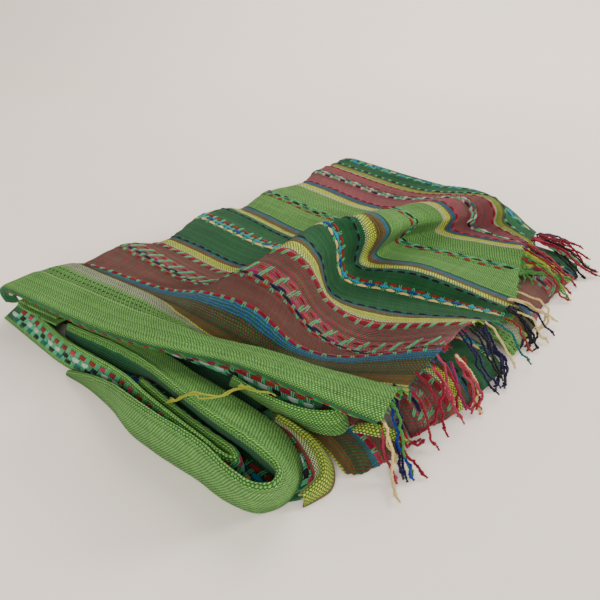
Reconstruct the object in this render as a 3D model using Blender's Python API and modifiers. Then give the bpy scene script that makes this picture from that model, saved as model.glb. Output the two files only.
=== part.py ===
"""A folded, hand-woven striped scarf that lies on a table, its fringed end at +X.

The frame: +X runs along the stripes towards the fringe, +Y runs across them
towards the back of the pile, +Z is up. The origin is on the table under the
middle of the scarf. The tables below are in millimetres.
"""
import math

import bmesh
import bpy
from mathutils import Vector

MM = 0.001
WALL = 1.6                # thickness of the cloth
SEAM = 0.4                # clearance between layers that lie on each other
LEFT_TUCK_Z = 16.5        # where the left fold edge tucks under

# The top layer. A row is one stripe line that runs from the left fold edge to
# the fringed end. y_left to y_end are its place across the cloth at the five
# STRIPE_X. edge_x is the fold edge. Then come the crest, nose and foot of the
# big ruck, the dale behind it, and the end.
STRIPE_X = (-140.0, -50.0, 10.0, 66.0, 150.0)
TOP_COLUMNS = ("line", "y_left", "y_mid", "y_ridge", "y_dale", "y_end", "edge_x", "left_z",
               "crest_x", "crest_z", "nose_x", "nose_z", "foot_x", "foot_z",
               "dale_x", "dale_z", "end_x", "end_z", "steps")
TOP_ROWS = (
    ("tuck",        -169, -152, -136, -111,  -97, -135, 25,  0, 26, 24, 27, 62, 27, 100, 27, 150, 28, 1),
    ("ladder",      -174, -157, -141, -116, -102, -139, 27,  0, 28, 24, 29, 62, 29, 100, 30, 153, 31, 1),
    ("near_edge",   -175, -158, -142, -117, -103, -143, 30,  0, 31, 24, 32, 62, 32, 100, 33, 156, 34, 2),
    ("band",        -163, -146, -130, -106,  -87, -145, 31,  0, 33, 24, 33, 62, 32, 100, 33, 152, 35, 2),
    ("crease",      -148, -131, -117,  -94,  -69, -146, 31,  0, 32, 24, 31, 62, 31, 100, 30, 146, 32, 1),
    ("lime",        -120, -105, -109,  -87,  -63, -141, 30, -5, 31, 20, 25, 60, 19, 100, 20, 147, 30, 2),
    ("mauve1_near", -117,  -93,  -84,  -70,  -34, -136, 29, -4, 40, 34, 40, 64, 22,  90, 20, 149, 43, 2),
    ("mauve1_mid",   -72,  -73,  -60,  -46,  -24, -139, 31,  8, 53, 35, 45, 58, 23,  90, 15, 147, 40, 2),
    ("mauve1_far",   -51,  -44,  -33,  -16,   20, -127, 28, 14, 61, 31, 54, 50, 27,  80, 18, 140, 34, 2),
    ("green1_near",  -35,  -30,  -12,    8,   42, -127, 28, 10, 62, 24, 51, 35, 21,  72, 16, 143, 26, 2),
    ("green1_mid",     8,    8,   26,   50,   68, -141, 31,  4, 61, 14, 50, 20, 18,  60, 14, 145, 17, 2),
    ("green1_far",    38,   36,   44,   60,   80, -142, 29, 12, 61, 21, 47, 20, 21,  66, 26, 142, 16, 1),
    ("crease2",       52,   49,   60,   73,   92, -132, 28, 18, 61, 32, 50, 23, 24,  66, 26, 138, 16, 2),
    ("light2_mid",    91,   88,  101,  115,  136, -141, 31, 13, 52, 32, 44, 20, 25,  64, 22, 120, 22, 2),
    ("mauve2_near",  138,  137,  143,  155,  170, -138, 28, 29, 49, 43, 39, 40, 26,  76, 25, 105, 28, 2),
    ("mauve2_mid",   173,  172,  171,  172,  180, -147, 31, 43, 48, 53, 39, 52, 27,  76, 23,  97, 23, 2),
    ("lime_far",     205,  205,  196,  193,  200, -151, 30, 58, 47, 68, 39, 70, 29,  82, 23,  97, 18, 2),
    ("back_lip",     229,  228,  225,  219,  214, -150, 31, 20, 36, 48, 34, 62, 30,  78, 22,  91, 14, 2),
    ("back_roll",    243,  244,  240,  234,  226, -147, 22, 20, 24, 46, 22, 60, 19,  74, 14,  86, 10, 1),
    ("back_low",     244,  246,  241,  235,  227, -144, 14, 20, 13, 45, 11, 58, 10,  72,  8,  83,  6, 1),
)

# The cloth's light border at the front bends round in hairpins. A row is one
# section of a hairpin: its raised rim, and the foot of its outer face.
# drop is how far the inner face goes down, lean how far inward.
RIM_COLUMNS = ("rim_x", "rim_y", "rim_z", "foot_x", "foot_y", "foot_z", "drop", "lean")
BIG_LOOP_ROWS = (
    (-42, -178.5,  4.5,  -44, -179.5,  1.0,  2, 0),
    (-18, -175.5, 12.0,  -20, -176.5,  0.8,  7, 0),
    ( 10, -175.0, 20.0,   10, -177.0,  0.8, 12, 0),
    ( 34, -177.5, 26.5,   34, -180.5,  0.8, 13, 0),
    ( 60, -176.5, 28.0,   60, -179.5,  0.8, 13, 0),
    ( 92, -173.5, 28.5,   92, -175.5,  0.8, 13, 0),
    (120, -175.0, 28.5,  118, -173.5,  0.8,  6, 0),
    (136, -173.0, 28.5,  133, -167.0,  0.8,  3, 0),
    (142, -165.5, 28.0,  138, -154.0,  0.8,  3, 0),
    (138, -157.0, 28.0,  136, -141.0,  1.5,  5, 0),
    (125, -153.5, 28.0,  127, -131.0,  6.0,  8, 0),
    (109, -153.0, 28.0,  112, -126.0, 12.0,  7, 0),
    ( 88, -154.0, 28.0,   90, -126.5, 15.5,  7, 0),
    ( 62, -153.5, 27.0,   62, -129.0, 17.5,  6, 0),
    ( 36, -151.5, 25.5,   36, -131.0, 18.0,  6, 0),
    ( 12, -149.0, 23.0,   12, -133.0, 20.0,  8, 1),
    (-10, -148.5, 20.8,  -10, -137.0, 22.0, 10, 6),
    (-34, -151.0, 19.6,  -34, -141.5, 22.0, 10, 6),
    (-56, -155.5, 18.8,  -56, -146.0, 21.8,  9, 4),
    (-74, -158.5, 18.0,  -74, -149.0, 21.2,  7, 2),
)
INNER_FOLD_ROWS = (
    (-134, -167.0, 14.0, -143, -177.5,  0.8,  4, 5),
    (-112, -165.5, 14.5, -112, -177.0,  0.8,  4, 8),
    ( -84, -167.5, 15.0,  -84, -176.5,  0.8,  5, 2),
    ( -56, -168.5, 16.5,  -56, -175.5,  1.0,  6, 0),
    ( -24, -166.5, 18.5,  -24, -171.5,  2.0,  9, 0),
    (   4, -164.5, 20.0,    4, -169.3,  4.0, 10, 0),
    (  34, -167.0, 22.0,   34, -171.0,  5.0, 11, 0),
    (  66, -168.0, 23.5,   66, -171.0,  6.0, 11, 0),
    (  90, -167.6, 23.5,   91, -169.4,  7.0,  6, 0),
    ( 106, -167.2, 23.0,  110, -168.6,  8.0,  3, 0),
    ( 112, -164.0, 22.5,  117, -163.5,  9.0,  2, 0),
    ( 106, -160.6, 22.0,  108, -159.2, 10.0,  3, 0),
    (  80, -160.4, 20.5,   80, -158.6, 11.0,  5, 0),
    (  46, -159.6, 18.5,   46, -157.6, 10.0,  6, 0),
    (  14, -157.0, 16.0,   14, -155.0, 10.0,  5, 0),
)
SECOND_LOOP_ROWS = (
    ( 58, -119.0, 21.5,   57, -122.0, 15.0,  3, 0),
    ( 72, -120.5, 23.0,   71, -122.5, 18.0,  5, 0),
    ( 88, -119.5, 24.0,   88, -120.2, 16.0,  7, 0),
    (104, -117.0, 24.5,  106, -116.5, 13.0,  8, 0),
    (117, -111.5, 24.5,  123, -111.5, 11.2,  9, 0),
    (125, -103.5, 24.0,  131.5, -103.5, 10.6,  9, 0),
    (124,  -96.5, 23.0,  131,  -95.5, 11.5,  8, 0),
    (115,  -92.5, 22.0,  120,  -90.0, 13.0,  7, 0),
    (100,  -92.5, 21.5,  102,  -89.0, 13.0,  7, 0),
    ( 82,  -95.0, 21.0,   83,  -91.0, 13.0,  7, 0),
)
LIME_FOLD_ROWS = (
    (144, -147.0,  6.5,  146.5, -149.5,  0.9,  3, 2),
    (144.5, -140.0,  8.0, 148.5, -141.5,  0.9,  4, 3),
    (144.5, -132.0, 10.5, 149, -130.0,  0.9,  6, 4),
    (138, -126.0, 13.5,  142.5, -121.5,  4.5,  7, 4),
    (126, -122.4, 16.5,  128.5, -117.6,  9.0,  7, 3),
    (112, -122.0, 18.0,  113, -118.6, 10.6,  4, 0),
    (100, -122.4, 17.5,  101, -119.8, 11.0,  4, 0),
)

# A fold that opens at the left end of the front: a sheet that turns back
# under itself. A row is one section across the cloth, from its upper leg
# round the turn to its lower leg.
LEFT_POCKET_ROWS = (
    ((-80, -164, 22.6), (-106, -169, 22.6), (-121, -171, 22.0), (-125, -171, 19.7), (-121, -171, 17.4),
     (-106, -169, 17.0), (-80, -165, 17.0)),
    ((-80, -157, 22.6), (-106, -159, 22.6), (-121, -160, 22.0), (-125, -160, 19.6), (-121, -160, 17.2),
     (-106, -159, 16.8), (-82, -157, 16.8)),
    ((-82, -146, 22.6), (-106, -146, 22.6), (-119, -146, 22.0), (-123, -146, 19.6), (-119, -146, 17.2),
     (-106, -146, 16.6), (-84, -146, 16.6)),
)

# The layer that shows inside the front hairpin, low down. A row is one stripe
# line of it, from left to right.
POCKET_FLOOR_ROWS = (
    ((-60, -168.0, 4.6), (-10, -166.0, 5.8), (40, -166.4, 6.8), (92, -165.4, 7.4), (124, -165.0, 7.8)),
    ((-60, -161.0, 5.6), (-10, -159.0, 7.2), (40, -158.6, 8.5), (94, -159.0, 8.4), (131, -160.0, 7.9)),
    ((-60, -151.0, 5.8), (-10, -148.0, 7.4), (40, -151.0, 8.6), (92, -152.5, 8.8), (132, -151.0, 8.6)),
    ((-60, -142.8, 5.8), (-14, -138.0, 7.0), (30, -143.4, 8.0), (88, -146.4, 8.4), (127, -142.0, 8.2)),
)

# Layers that show past the fringed end. A row is one stripe line of the layer,
# as x, y, z at its hidden root, its back, its brow, its fall and its hem.
LOWER_SHEET_ROWS = (
    (( 90, -117.0,  8.6), (104, -115.6,  8.0), (120, -114.2,  7.2), (134, -115, 5.0), (146, -117, 1.2)),
    (( 84, -110,  9.0), (104, -108,  9.2), (125, -108,  8.6), (142, -111, 5.5), (152, -114, 1.2)),
    (( 80, -102,  9.4), (104, -101,  9.4), (130, -100,  9.2), (147, -103, 6.0), (155, -106, 1.2)),
    (( 80,  -94,  9.0), (108,  -93,  9.2), (134,  -93,  9.0), (149,  -95, 5.6), (157,  -97, 1.2)),
    (( 82,  -85,  9.4), (110,  -84,  9.4), (136,  -84,  8.6), (151,  -86, 6.0), (159,  -88, 1.0)),
    (( 84,  -76,  9.0), (112,  -76,  9.0), (137,  -77,  8.0), (152,  -78, 5.5), (159,  -79, 1.0)),
)
FRINGE_LAYER_ROWS = (
    (( 96, -70, 11.4), (126, -70, 14.0), (142, -69, 15.0), (153, -70, 9.0), (158, -71, 3.0)),
    (( 88, -56, 11.2), (128, -55, 18.0), (146, -55, 16.5), (156, -57, 9.5), (161, -58, 3.0)),
    (( 84, -40, 11.0), (130, -39, 18.5), (149, -39, 16.0), (159, -41, 9.0), (164, -42, 3.0)),
    (( 84, -22, 11.0), (131, -21, 19.5), (150, -21, 17.0), (161, -23, 9.5), (166, -24, 3.0)),
    (( 84,  -4, 11.0), (133,  -2, 17.5), (152,  -3, 14.5), (162,  -5, 8.5), (166,  -5, 3.0)),
    (( 84,  14, 11.0), (136,  16, 15.0), (151,  16, 12.5), (160,  15, 7.5), (165,  15, 3.0)),
    (( 86,  28, 11.0), (136,  30, 12.0), (150,  30, 10.0), (158,  29, 6.0), (162,  29, 2.5)),
)
CORNER_LAYER_ROWS = (
    (( 84,  42, 11.0), (132,  43, 11.0), (150,  44,  9.5), (158,  45, 5.5), (161,  46, 2.0)),
    (( 82,  62, 11.0), (130,  62, 10.6), (148,  63,  9.0), (156,  64, 5.5), (159,  65, 2.0)),
    (( 78,  86, 11.2), (126,  86, 11.0), (143,  87,  9.5), (151,  88, 5.0), (155,  89, 2.0)),
    (( 76, 112, 11.4), (122, 112, 13.5), (137, 113, 12.0), (144, 114, 6.0), (148, 115, 2.0)),
    (( 72, 136, 11.2), (116, 136, 13.0), (132, 137, 11.0), (141, 138, 6.0), (146, 139, 2.0)),
    (( 68, 160, 11.2), (110, 160, 14.5), (128, 160, 12.5), (140, 161, 6.5), (145, 162, 2.0)),
    (( 62, 184, 11.2), (103, 184, 12.0), (123, 185, 10.0), (138, 187, 5.0), (144, 188, 2.0)),
    (( 58, 206, 10.8), ( 96, 207,  8.6), (116, 208,  8.0), (131, 208, 4.5), (138, 208, 2.0)),
)

# The hidden layers share one rounded core with layered edges.
CORE_HIGH = 23.8          # under the smooth left half
CORE_LOW = 9.8            # under the dale
CORE_STEP = (-28.0, 0.0)  # where its top falls from high to low, in x
CORE_LAYERS = 4
CORE_GROOVE = 3.0
CORE_SETBACK = (26.0, 8.0)  # of the upper layers, at the left and elsewhere
CORE_CORNERS = (          # the outline, front left first, as x and y
    (-132, -150), (-60, -139), (-16, -134), (20, -139), (56, -143), (82, -143),
    (87, -132), (80, -114), (75, -92), (84, -68), (104, -60),
    (106, 20), (98, 60), (92, 110), (84, 160), (74, 205), (50, 228),
    (-40, 237), (-136, 235), (-139, 120), (-136, 0),
)

# A small crumpled tip of the cloth that lies on the lower sheet.
CRUMPLED_END_ROWS = (
    ((135,  -97, 10.3), (141,  -95, 11.4), (148,  -91, 11.2), (154,  -86,  9.8), (159, -82,  7.0)),
    ((135,  -92, 12.5), (142,  -90, 16.0), (149,  -86, 15.6), (155,  -82, 12.6), (160, -80,  8.4)),
    ((136,  -88, 10.6), (143,  -85, 11.4), (150,  -81, 11.4), (156,  -79,  9.8), (161, -78,  7.2)),
)

# The fringe. A row is one group of strands. Its strip lies along the hem of
# the top layer between y_from and y_to. The strands go over brow, down to the
# table at floor_x, and on to tip_x, and drift sideways by shift.
STRAND_RADIUS = 1.0
BUNDLE = 3                # strands that run together
BUNDLE_PITCH = 2.7        # between the strands of a bundle, at its knot
STRIP_SIZE = 2.2
STRAND_SIDES = 4
FRINGE_COLUMNS = ("group", "y_from", "y_to", "strands", "brow_x", "brow_z", "floor_x",
                  "tip_x", "shift", "spread")
FRINGE_ROWS = (
    ("fringe_band",   -99, -74,  6, 163, 18.0, 167, 176, -10, 1.30),
    ("fringe_mauve1", -64, -16, 12, 163, 18.0, 171, 179,  -6, 1.00),
    ("fringe_green1",  -4,  62, 13, 161, 15.5, 171, 177,  -3, 0.95),
    ("fringe_crease",  70, 112,  8, 157, 13.5, 165, 169,   2, 1.00),
    ("fringe_light2", 120, 160,  9, 145, 13.5, 152, 158,   2, 1.00),
    ("fringe_mauve2", 168, 210, 10, 128, 16.5, 150, 157,   4, 1.00),
)


def remove_scene_objects():
    for old in list(bpy.data.objects):
        bpy.data.objects.remove(old, do_unlink=True)


def spline(points, steps):
    """A smooth curve through points, steps[i] pieces between i and i + 1."""
    path = [Vector(p) for p in points]
    path = [path[0] * 2 - path[1]] + path + [path[-1] * 2 - path[-2]]
    times = [0.0]
    for a, b in zip(path, path[1:]):
        times.append(times[-1] + max((b - a).length, 1e-6) ** 0.5)
    curve = [path[1].copy()]
    for i in range(1, len(path) - 2):
        p0, p1, p2, p3 = path[i - 1:i + 3]
        t0, t1, t2, t3 = times[i - 1:i + 3]
        for k in range(1, steps[i - 1] + 1):
            t = t1 + (t2 - t1) * k / steps[i - 1]
            a1 = p0 * ((t1 - t) / (t1 - t0)) + p1 * ((t - t0) / (t1 - t0))
            a2 = p1 * ((t2 - t) / (t2 - t1)) + p2 * ((t - t1) / (t2 - t1))
            a3 = p2 * ((t3 - t) / (t3 - t2)) + p3 * ((t - t2) / (t3 - t2))
            b1 = a1 * ((t2 - t) / (t2 - t0)) + a2 * ((t - t0) / (t2 - t0))
            b2 = a2 * ((t3 - t) / (t3 - t1)) + a3 * ((t - t1) / (t3 - t1))
            curve.append(b1 * ((t2 - t) / (t2 - t1)) + b2 * ((t - t1) / (t2 - t1)))
    return curve


def along(knots, values, x):
    """The value at x on straight runs between knots."""
    for i in range(len(knots) - 2):
        if x <= knots[i + 1]:
            break
    else:
        i = len(knots) - 2
    share = (x - knots[i]) / (knots[i + 1] - knots[i])
    return values[i] + (values[i + 1] - values[i]) * share


def smooth_step(low, high, x):
    share = min(max((x - low) / (high - low), 0.0), 1.0)
    return share * share * (3 - 2 * share)


def net_of(lines, steps_along, steps_across):
    """Sample each line, then across the lines: a grid of points."""
    runs = [spline(line, steps_along) for line in lines]
    columns = [spline(list(column), steps_across) for column in zip(*runs)]
    return [list(row) for row in zip(*columns)]


def cloth_material(name, colour, roughness=0.9):
    material = bpy.data.materials.new(name)
    material.use_nodes = True
    shader = material.node_tree.nodes["Principled BSDF"]
    shader.inputs["Base Color"].default_value = (*colour, 1.0)
    shader.inputs["Roughness"].default_value = roughness
    shader.inputs["Metallic"].default_value = 0.0
    return material


def add_object(name, mesh, colour, collection):
    mesh.materials.append(cloth_material(name + "_cloth", colour))
    mesh.shade_smooth()
    item = bpy.data.objects.new(name, mesh)
    collection.objects.link(item)
    return item


def mesh_from_grid(name, grid):
    """An open surface over a grid of points in millimetres."""
    shape = bmesh.new()
    corners = [[shape.verts.new(point * MM) for point in row] for row in grid]
    for low, high in zip(corners, corners[1:]):
        for i in range(len(low) - 1):
            shape.faces.new((low[i], low[i + 1], high[i + 1], high[i]))
    mesh = bpy.data.meshes.new(name)
    shape.to_mesh(mesh)
    shape.free()
    return mesh


def add_cloth(name, grid, colour, collection):
    """A wall of cloth whose middle is the grid."""
    item = add_object(name, mesh_from_grid(name, grid), colour, collection)
    wall = item.modifiers.new("Wall", "SOLIDIFY")
    wall.thickness = WALL * MM
    wall.offset = 0.0
    return item


def top_line(row):
    """One stripe line of the top layer, from under the fold edge to the end."""
    place = (row["y_left"], row["y_mid"], row["y_ridge"], row["y_dale"], row["y_end"])
    edge_x = row["edge_x"]
    left_z = row["left_z"]
    rise_x = min(row["crest_x"] - 36, -30)
    low_z = max(left_z - 14, min(LEFT_TUCK_Z, left_z - 5))
    fall = left_z - low_z
    turn_in = min(max(fall - 6, 0) * 2, 5)
    knots = (
        (edge_x + turn_in, low_z), (edge_x + 0.5, low_z + fall * 0.35), (edge_x + 1, low_z + fall * 0.65),
        (edge_x + 8, left_z - 0.4), (edge_x + 34, left_z), (rise_x, left_z - 0.2),
        (row["crest_x"], row["crest_z"]), (row["nose_x"], row["nose_z"]),
        (row["foot_x"], row["foot_z"]), (row["dale_x"], row["dale_z"]),
        (row["end_x"], row["end_z"]),
    )
    return [(x, along(STRIPE_X, place, x), z) for x, z in knots]


def top_grid():
    rows = [dict(zip(TOP_COLUMNS, values)) for values in TOP_ROWS]
    lines = [top_line(row) for row in rows]
    return net_of(lines, (1, 2, 2, 1, 2, 5, 4, 4, 3, 4), [row["steps"] for row in rows][:-1])


def hairpin_grid(rows, steps):
    """A raised rim with an outer face down to its foot and a short inner face."""
    sections = [dict(zip(RIM_COLUMNS, values)) for values in rows]
    rims = [Vector((s["rim_x"], s["rim_y"], s["rim_z"])) for s in sections]
    lines = [[] for _ in range(6)]
    for i, section in enumerate(sections):
        run = rims[min(i + 1, len(rims) - 1)] - rims[max(i - 1, 0)]
        inward = Vector((-run.y, run.x, 0)).normalized()
        rim = rims[i]
        foot = Vector((section["foot_x"], section["foot_y"], section["foot_z"]))
        high = section["rim_z"] - section["foot_z"]
        shoulder = rim - inward * 1.3 - Vector((0, 0, 1.3))
        depth = 1.4 + section["drop"]
        follow = max(0.0, (foot - rim).dot(inward)) * min(depth / max(high, 1.0), 1.0)
        lines[0].append(foot)
        lines[1].append(foot.lerp(shoulder, 0.52) - inward * min(0.8, high * 0.03))
        lines[2].append(shoulder)
        lines[3].append(rim)
        lines[4].append(rim + inward * 1.4 - Vector((0, 0, 1.4)))
        lines[5].append(rim + inward * (1.8 + section["lean"] + follow) - Vector((0, 0, depth)))
    return net_of(lines, [steps] * (len(sections) - 1), (1, 2, 1, 1, 1))


def layer_grid(rows):
    return net_of([list(row) for row in rows], (2, 2, 2, 2), [2] * (len(rows) - 1))


def core_outline(count):
    """Evenly turned points of the rounded outline, as x and y."""
    ring = [Vector((x, y, 0)) for x, y in CORE_CORNERS]
    closed = ring[-2:] + ring + ring[:3]
    curve = spline(closed, [6] * (len(closed) - 1))
    start = 2 * 6
    curve = curve[start:start + len(ring) * 6]
    return [curve[int(i * len(curve) / count)] for i in range(count)]


def core_top(x):
    return CORE_HIGH + (CORE_LOW - CORE_HIGH) * smooth_step(*CORE_STEP, x)


def add_core(name, colour, collection):
    """Stacked layers fused into one solid with a flat underside."""
    outline = core_outline(64)
    middle = Vector((-20, 60, 0))
    rings = []
    for layer in range(CORE_LAYERS):
        for share, inset in ((0.0, CORE_GROOVE), (0.22, 0.6), (0.5, 0.0), (0.78, 0.6), (0.97, CORE_GROOVE)):
            rings.append(((layer + share) / CORE_LAYERS, inset + layer * 0.8, layer >= 2))
    rings.append((1.0, CORE_GROOVE * 3, True))
    shape = bmesh.new()
    bands = []
    for level, inset, upper in rings:
        band = []
        for point in outline:
            reach = point - middle
            setback = CORE_SETBACK[0 if point.x < -100 else 1] if upper else 0
            place = middle + reach * (1 - (inset + setback) / reach.length)
            band.append(shape.verts.new(Vector((place.x, place.y, level * core_top(place.x))) * MM))
        bands.append(band)
    last = [vert.co / MM for vert in bands[-1]]
    for share in (0.8, 0.6, 0.4, 0.2):
        band = []
        for point in last:
            place = middle + (point - middle) * share
            band.append(shape.verts.new(Vector((place.x, place.y, core_top(place.x))) * MM))
        bands.append(band)
    for low, high in zip(bands, bands[1:]):
        for i in range(len(low)):
            j = (i + 1) % len(low)
            shape.faces.new((low[i], low[j], high[j], high[i]))
    shape.faces.new(list(reversed(bands[0])))
    peak = shape.verts.new(Vector((middle.x, middle.y, core_top(middle.x))) * MM)
    for i in range(len(bands[-1])):
        shape.faces.new((bands[-1][i], bands[-1][(i + 1) % len(bands[-1])], peak))
    bmesh.ops.triangulate(shape, faces=[f for f in shape.faces if len(f.verts) == 4])
    mesh = bpy.data.meshes.new(name)
    shape.to_mesh(mesh)
    shape.free()
    return add_object(name, mesh, colour, collection)


def tube(shape, path, radius, sides):
    """A closed tube along a path, in millimetres, added to a bmesh."""
    rings = []
    for i, point in enumerate(path):
        run = (path[min(i + 1, len(path) - 1)] - path[max(i - 1, 0)]).normalized()
        side = run.cross(Vector((0, 0, 1)))
        if side.length < 0.05:
            side = Vector((0, 1, 0))
        side.normalize()
        up = side.cross(run).normalized()
        ring = []
        for k in range(sides):
            turn = 2 * math.pi * (k + 0.5) / sides
            ring.append(shape.verts.new((point + (side * math.cos(turn) + up * math.sin(turn)) * radius) * MM))
        rings.append(ring)
    for low, high in zip(rings, rings[1:]):
        for k in range(sides):
            m = (k + 1) % sides
            shape.faces.new((low[k], low[m], high[m], high[k]))
    shape.faces.new(list(reversed(rings[0])))
    shape.faces.new(rings[-1])


def mesh_of(name, shape):
    bmesh.ops.recalc_face_normals(shape, faces=shape.faces)
    mesh = bpy.data.meshes.new(name)
    shape.to_mesh(mesh)
    shape.free()
    return mesh


def on_hem(hem, y):
    """The point of the hem at y."""
    ys = [p.y for p in hem]
    return Vector((along(ys, [p.x for p in hem], y), y, along(ys, [p.z for p in hem], y)))


def add_fringe(row, hem, colour, collection, cutters):
    """A narrow strip along the hem with its strands fused to it."""
    out = Vector((WALL / 4 + SEAM + STRIP_SIZE / 2, 0, 0))
    y_from = row["y_from"]
    y_to = row["y_to"]
    between = [p.y for p in hem if y_from + 1 < p.y < y_to - 1]
    strip = [on_hem(hem, y) + out for y in [y_from - 1] + between + [y_to + 1]]
    body = bmesh.new()
    tube(body, strip, STRIP_SIZE * 0.7, 4)
    item = add_object(row["group"], mesh_of(row["group"], body), colour, collection)
    strands = bmesh.new()
    middle = (y_from + y_to) / 2
    pitch = (y_to - y_from) / row["strands"]
    for i in range(row["strands"]):
        y = y_from + pitch * (i + 0.5)
        bundle = i // BUNDLE
        place = i % BUNDLE - (min(BUNDLE, row["strands"] - bundle * BUNDLE) - 1) / 2
        heart = y - place * pitch
        heart = middle + (heart - middle) * row["spread"]
        wave = math.sin(i * 2.4)
        sway = math.sin(bundle * 2.1 + y_from)
        start = on_hem(hem, y) + out
        brow = Vector((row["brow_x"] + sway * 1.5 + wave * 0.5, y + row["shift"] * 0.25, row["brow_z"] + wave))
        half = start.lerp(brow, 0.5) + Vector((1.0, 0, 2.0))
        knot = Vector((row["floor_x"] + sway * 2.5, heart + place * BUNDLE_PITCH + row["shift"] * 0.6, 3.4))
        tip_y = heart + place * (BUNDLE_PITCH + 0.7) + row["shift"] * 1.1 + sway * 0.8
        tip = Vector((row["tip_x"] + sway * 3 + wave * 2.5, tip_y, STRAND_RADIUS + 0.3))
        tube(strands, spline((start, half, brow, knot, tip), (1, 2, 2, 2)), STRAND_RADIUS, STRAND_SIDES)
    name = row["group"] + "_strands"
    tool = bpy.data.objects.new(name, mesh_of(name, strands))
    tool.hide_render = True
    tool.display_type = "WIRE"
    cutters.objects.link(tool)
    fuse = item.modifiers.new("Fuse", "BOOLEAN")
    fuse.operation = "UNION"
    fuse.solver = "EXACT"
    fuse.object = tool
    return item


def build():
    remove_scene_objects()
    scarf = bpy.data.collections.new("scarf")
    cutters = bpy.data.collections.new("cutters")
    bpy.context.scene.collection.children.link(scarf)
    bpy.context.scene.collection.children.link(cutters)

    top = top_grid()
    add_cloth("top_layer", top, (0.36, 0.42, 0.28), scarf)
    add_core("hidden_layers", (0.20, 0.34, 0.16), scarf)
    add_cloth("big_loop", hairpin_grid(BIG_LOOP_ROWS, 2), (0.36, 0.60, 0.20), scarf)
    add_cloth("inner_fold", hairpin_grid(INNER_FOLD_ROWS, 2), (0.22, 0.45, 0.20), scarf)
    add_cloth("second_loop", hairpin_grid(SECOND_LOOP_ROWS, 2), (0.30, 0.55, 0.20), scarf)
    add_cloth("lime_fold", hairpin_grid(LIME_FOLD_ROWS, 2), (0.62, 0.68, 0.10), scarf)
    add_cloth("left_pocket", net_of([list(row) for row in LEFT_POCKET_ROWS], (2, 2, 2, 2, 2, 2), (2, 2)),
              (0.26, 0.48, 0.18), scarf)
    add_cloth("pocket_floor", layer_grid(POCKET_FLOOR_ROWS), (0.10, 0.30, 0.18), scarf)
    add_cloth("lower_sheet", layer_grid(LOWER_SHEET_ROWS), (0.35, 0.22, 0.14), scarf)
    add_cloth("fringe_layer", layer_grid(FRINGE_LAYER_ROWS), (0.42, 0.22, 0.24), scarf)
    add_cloth("corner_layer", layer_grid(CORNER_LAYER_ROWS), (0.16, 0.35, 0.38), scarf)
    add_cloth("crumpled_end", layer_grid(CRUMPLED_END_ROWS), (0.55, 0.60, 0.20), scarf)

    hem = [row[-1] for row in top][2:]
    for values in FRINGE_ROWS:
        add_fringe(dict(zip(FRINGE_COLUMNS, values)), hem, (0.45, 0.05, 0.15), scarf, cutters)


build()
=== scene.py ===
"""A folded, hand-woven striped cotton scarf on a pale table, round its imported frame."""
import bisect
import math

import bmesh
import bpy
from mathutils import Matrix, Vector, noise


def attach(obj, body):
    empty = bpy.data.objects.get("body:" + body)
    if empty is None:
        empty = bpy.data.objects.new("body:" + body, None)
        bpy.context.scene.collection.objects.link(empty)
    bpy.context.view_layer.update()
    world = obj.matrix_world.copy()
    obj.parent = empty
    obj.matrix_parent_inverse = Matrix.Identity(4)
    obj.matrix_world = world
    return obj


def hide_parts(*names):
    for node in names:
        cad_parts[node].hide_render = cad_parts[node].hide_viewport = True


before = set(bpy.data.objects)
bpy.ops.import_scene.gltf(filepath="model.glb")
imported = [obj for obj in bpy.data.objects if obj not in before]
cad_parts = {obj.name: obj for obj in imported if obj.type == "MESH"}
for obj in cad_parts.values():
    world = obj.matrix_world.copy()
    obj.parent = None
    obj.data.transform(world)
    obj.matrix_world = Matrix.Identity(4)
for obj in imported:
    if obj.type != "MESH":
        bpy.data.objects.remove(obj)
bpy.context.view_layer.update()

MM = 0.001

# The camera stands where the photograph's did: half a metre from the middle
# of the pile, 31 degrees above the table and 44 degrees round to the fringe.
# Its lens was fitted to the outline of the pile.
CAMERA_TURN = math.radians(44.0)
CAMERA_RISE = math.radians(31.0)
CAMERA_DISTANCE = 0.5
camera_data = bpy.data.cameras.new("camera")
camera_data.sensor_width = 36.0
camera_data.lens = 37.2
camera = bpy.data.objects.new("camera", camera_data)
bpy.context.scene.collection.objects.link(camera)
camera_back = Vector((math.sin(CAMERA_TURN) * math.cos(CAMERA_RISE),
                      -math.cos(CAMERA_TURN) * math.cos(CAMERA_RISE),
                      math.sin(CAMERA_RISE)))
camera.location = camera_back * CAMERA_DISTANCE
camera.rotation_euler = camera_back.to_track_quat("Z", "Y").to_euler()
bpy.context.scene.camera = camera


# The striped cloth is one panel of coarse plain weave in cotton. Its warp runs
# along the stripes, in many colours, and one green weft crosses all of them.
# Each piece of it below knows its place on the panel, so its stripes join up.
class Field:
    """A number that varies over a surface. Its signs add Math nodes."""

    def __init__(self, shader, socket):
        self.shader = shader
        self.socket = socket

    def math(self, operation, *others):
        values = dict(enumerate((self, *others)))
        node = self.shader.node("ShaderNodeMath", {"operation": operation}, values)
        return Field(self.shader, node.outputs[0])

    def __add__(self, other):
        return self.math("ADD", other)

    def __sub__(self, other):
        return self.math("SUBTRACT", other)

    def __rsub__(self, other):
        return self.math("MULTIPLY", -1.0).math("ADD", other)

    def __mul__(self, other):
        return self.math("MULTIPLY", other)

    def __truediv__(self, other):
        return self.math("DIVIDE", other)

    def __gt__(self, other):
        return self.math("GREATER_THAN", other)

    def __lt__(self, other):
        return self.math("LESS_THAN", other)

    def floor(self):
        return self.math("FLOOR")

    def fraction(self):
        return self.math("FRACT")

    def size(self):
        return self.math("ABSOLUTE")

    def larger(self, other):
        return self.math("MAXIMUM", other)


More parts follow.
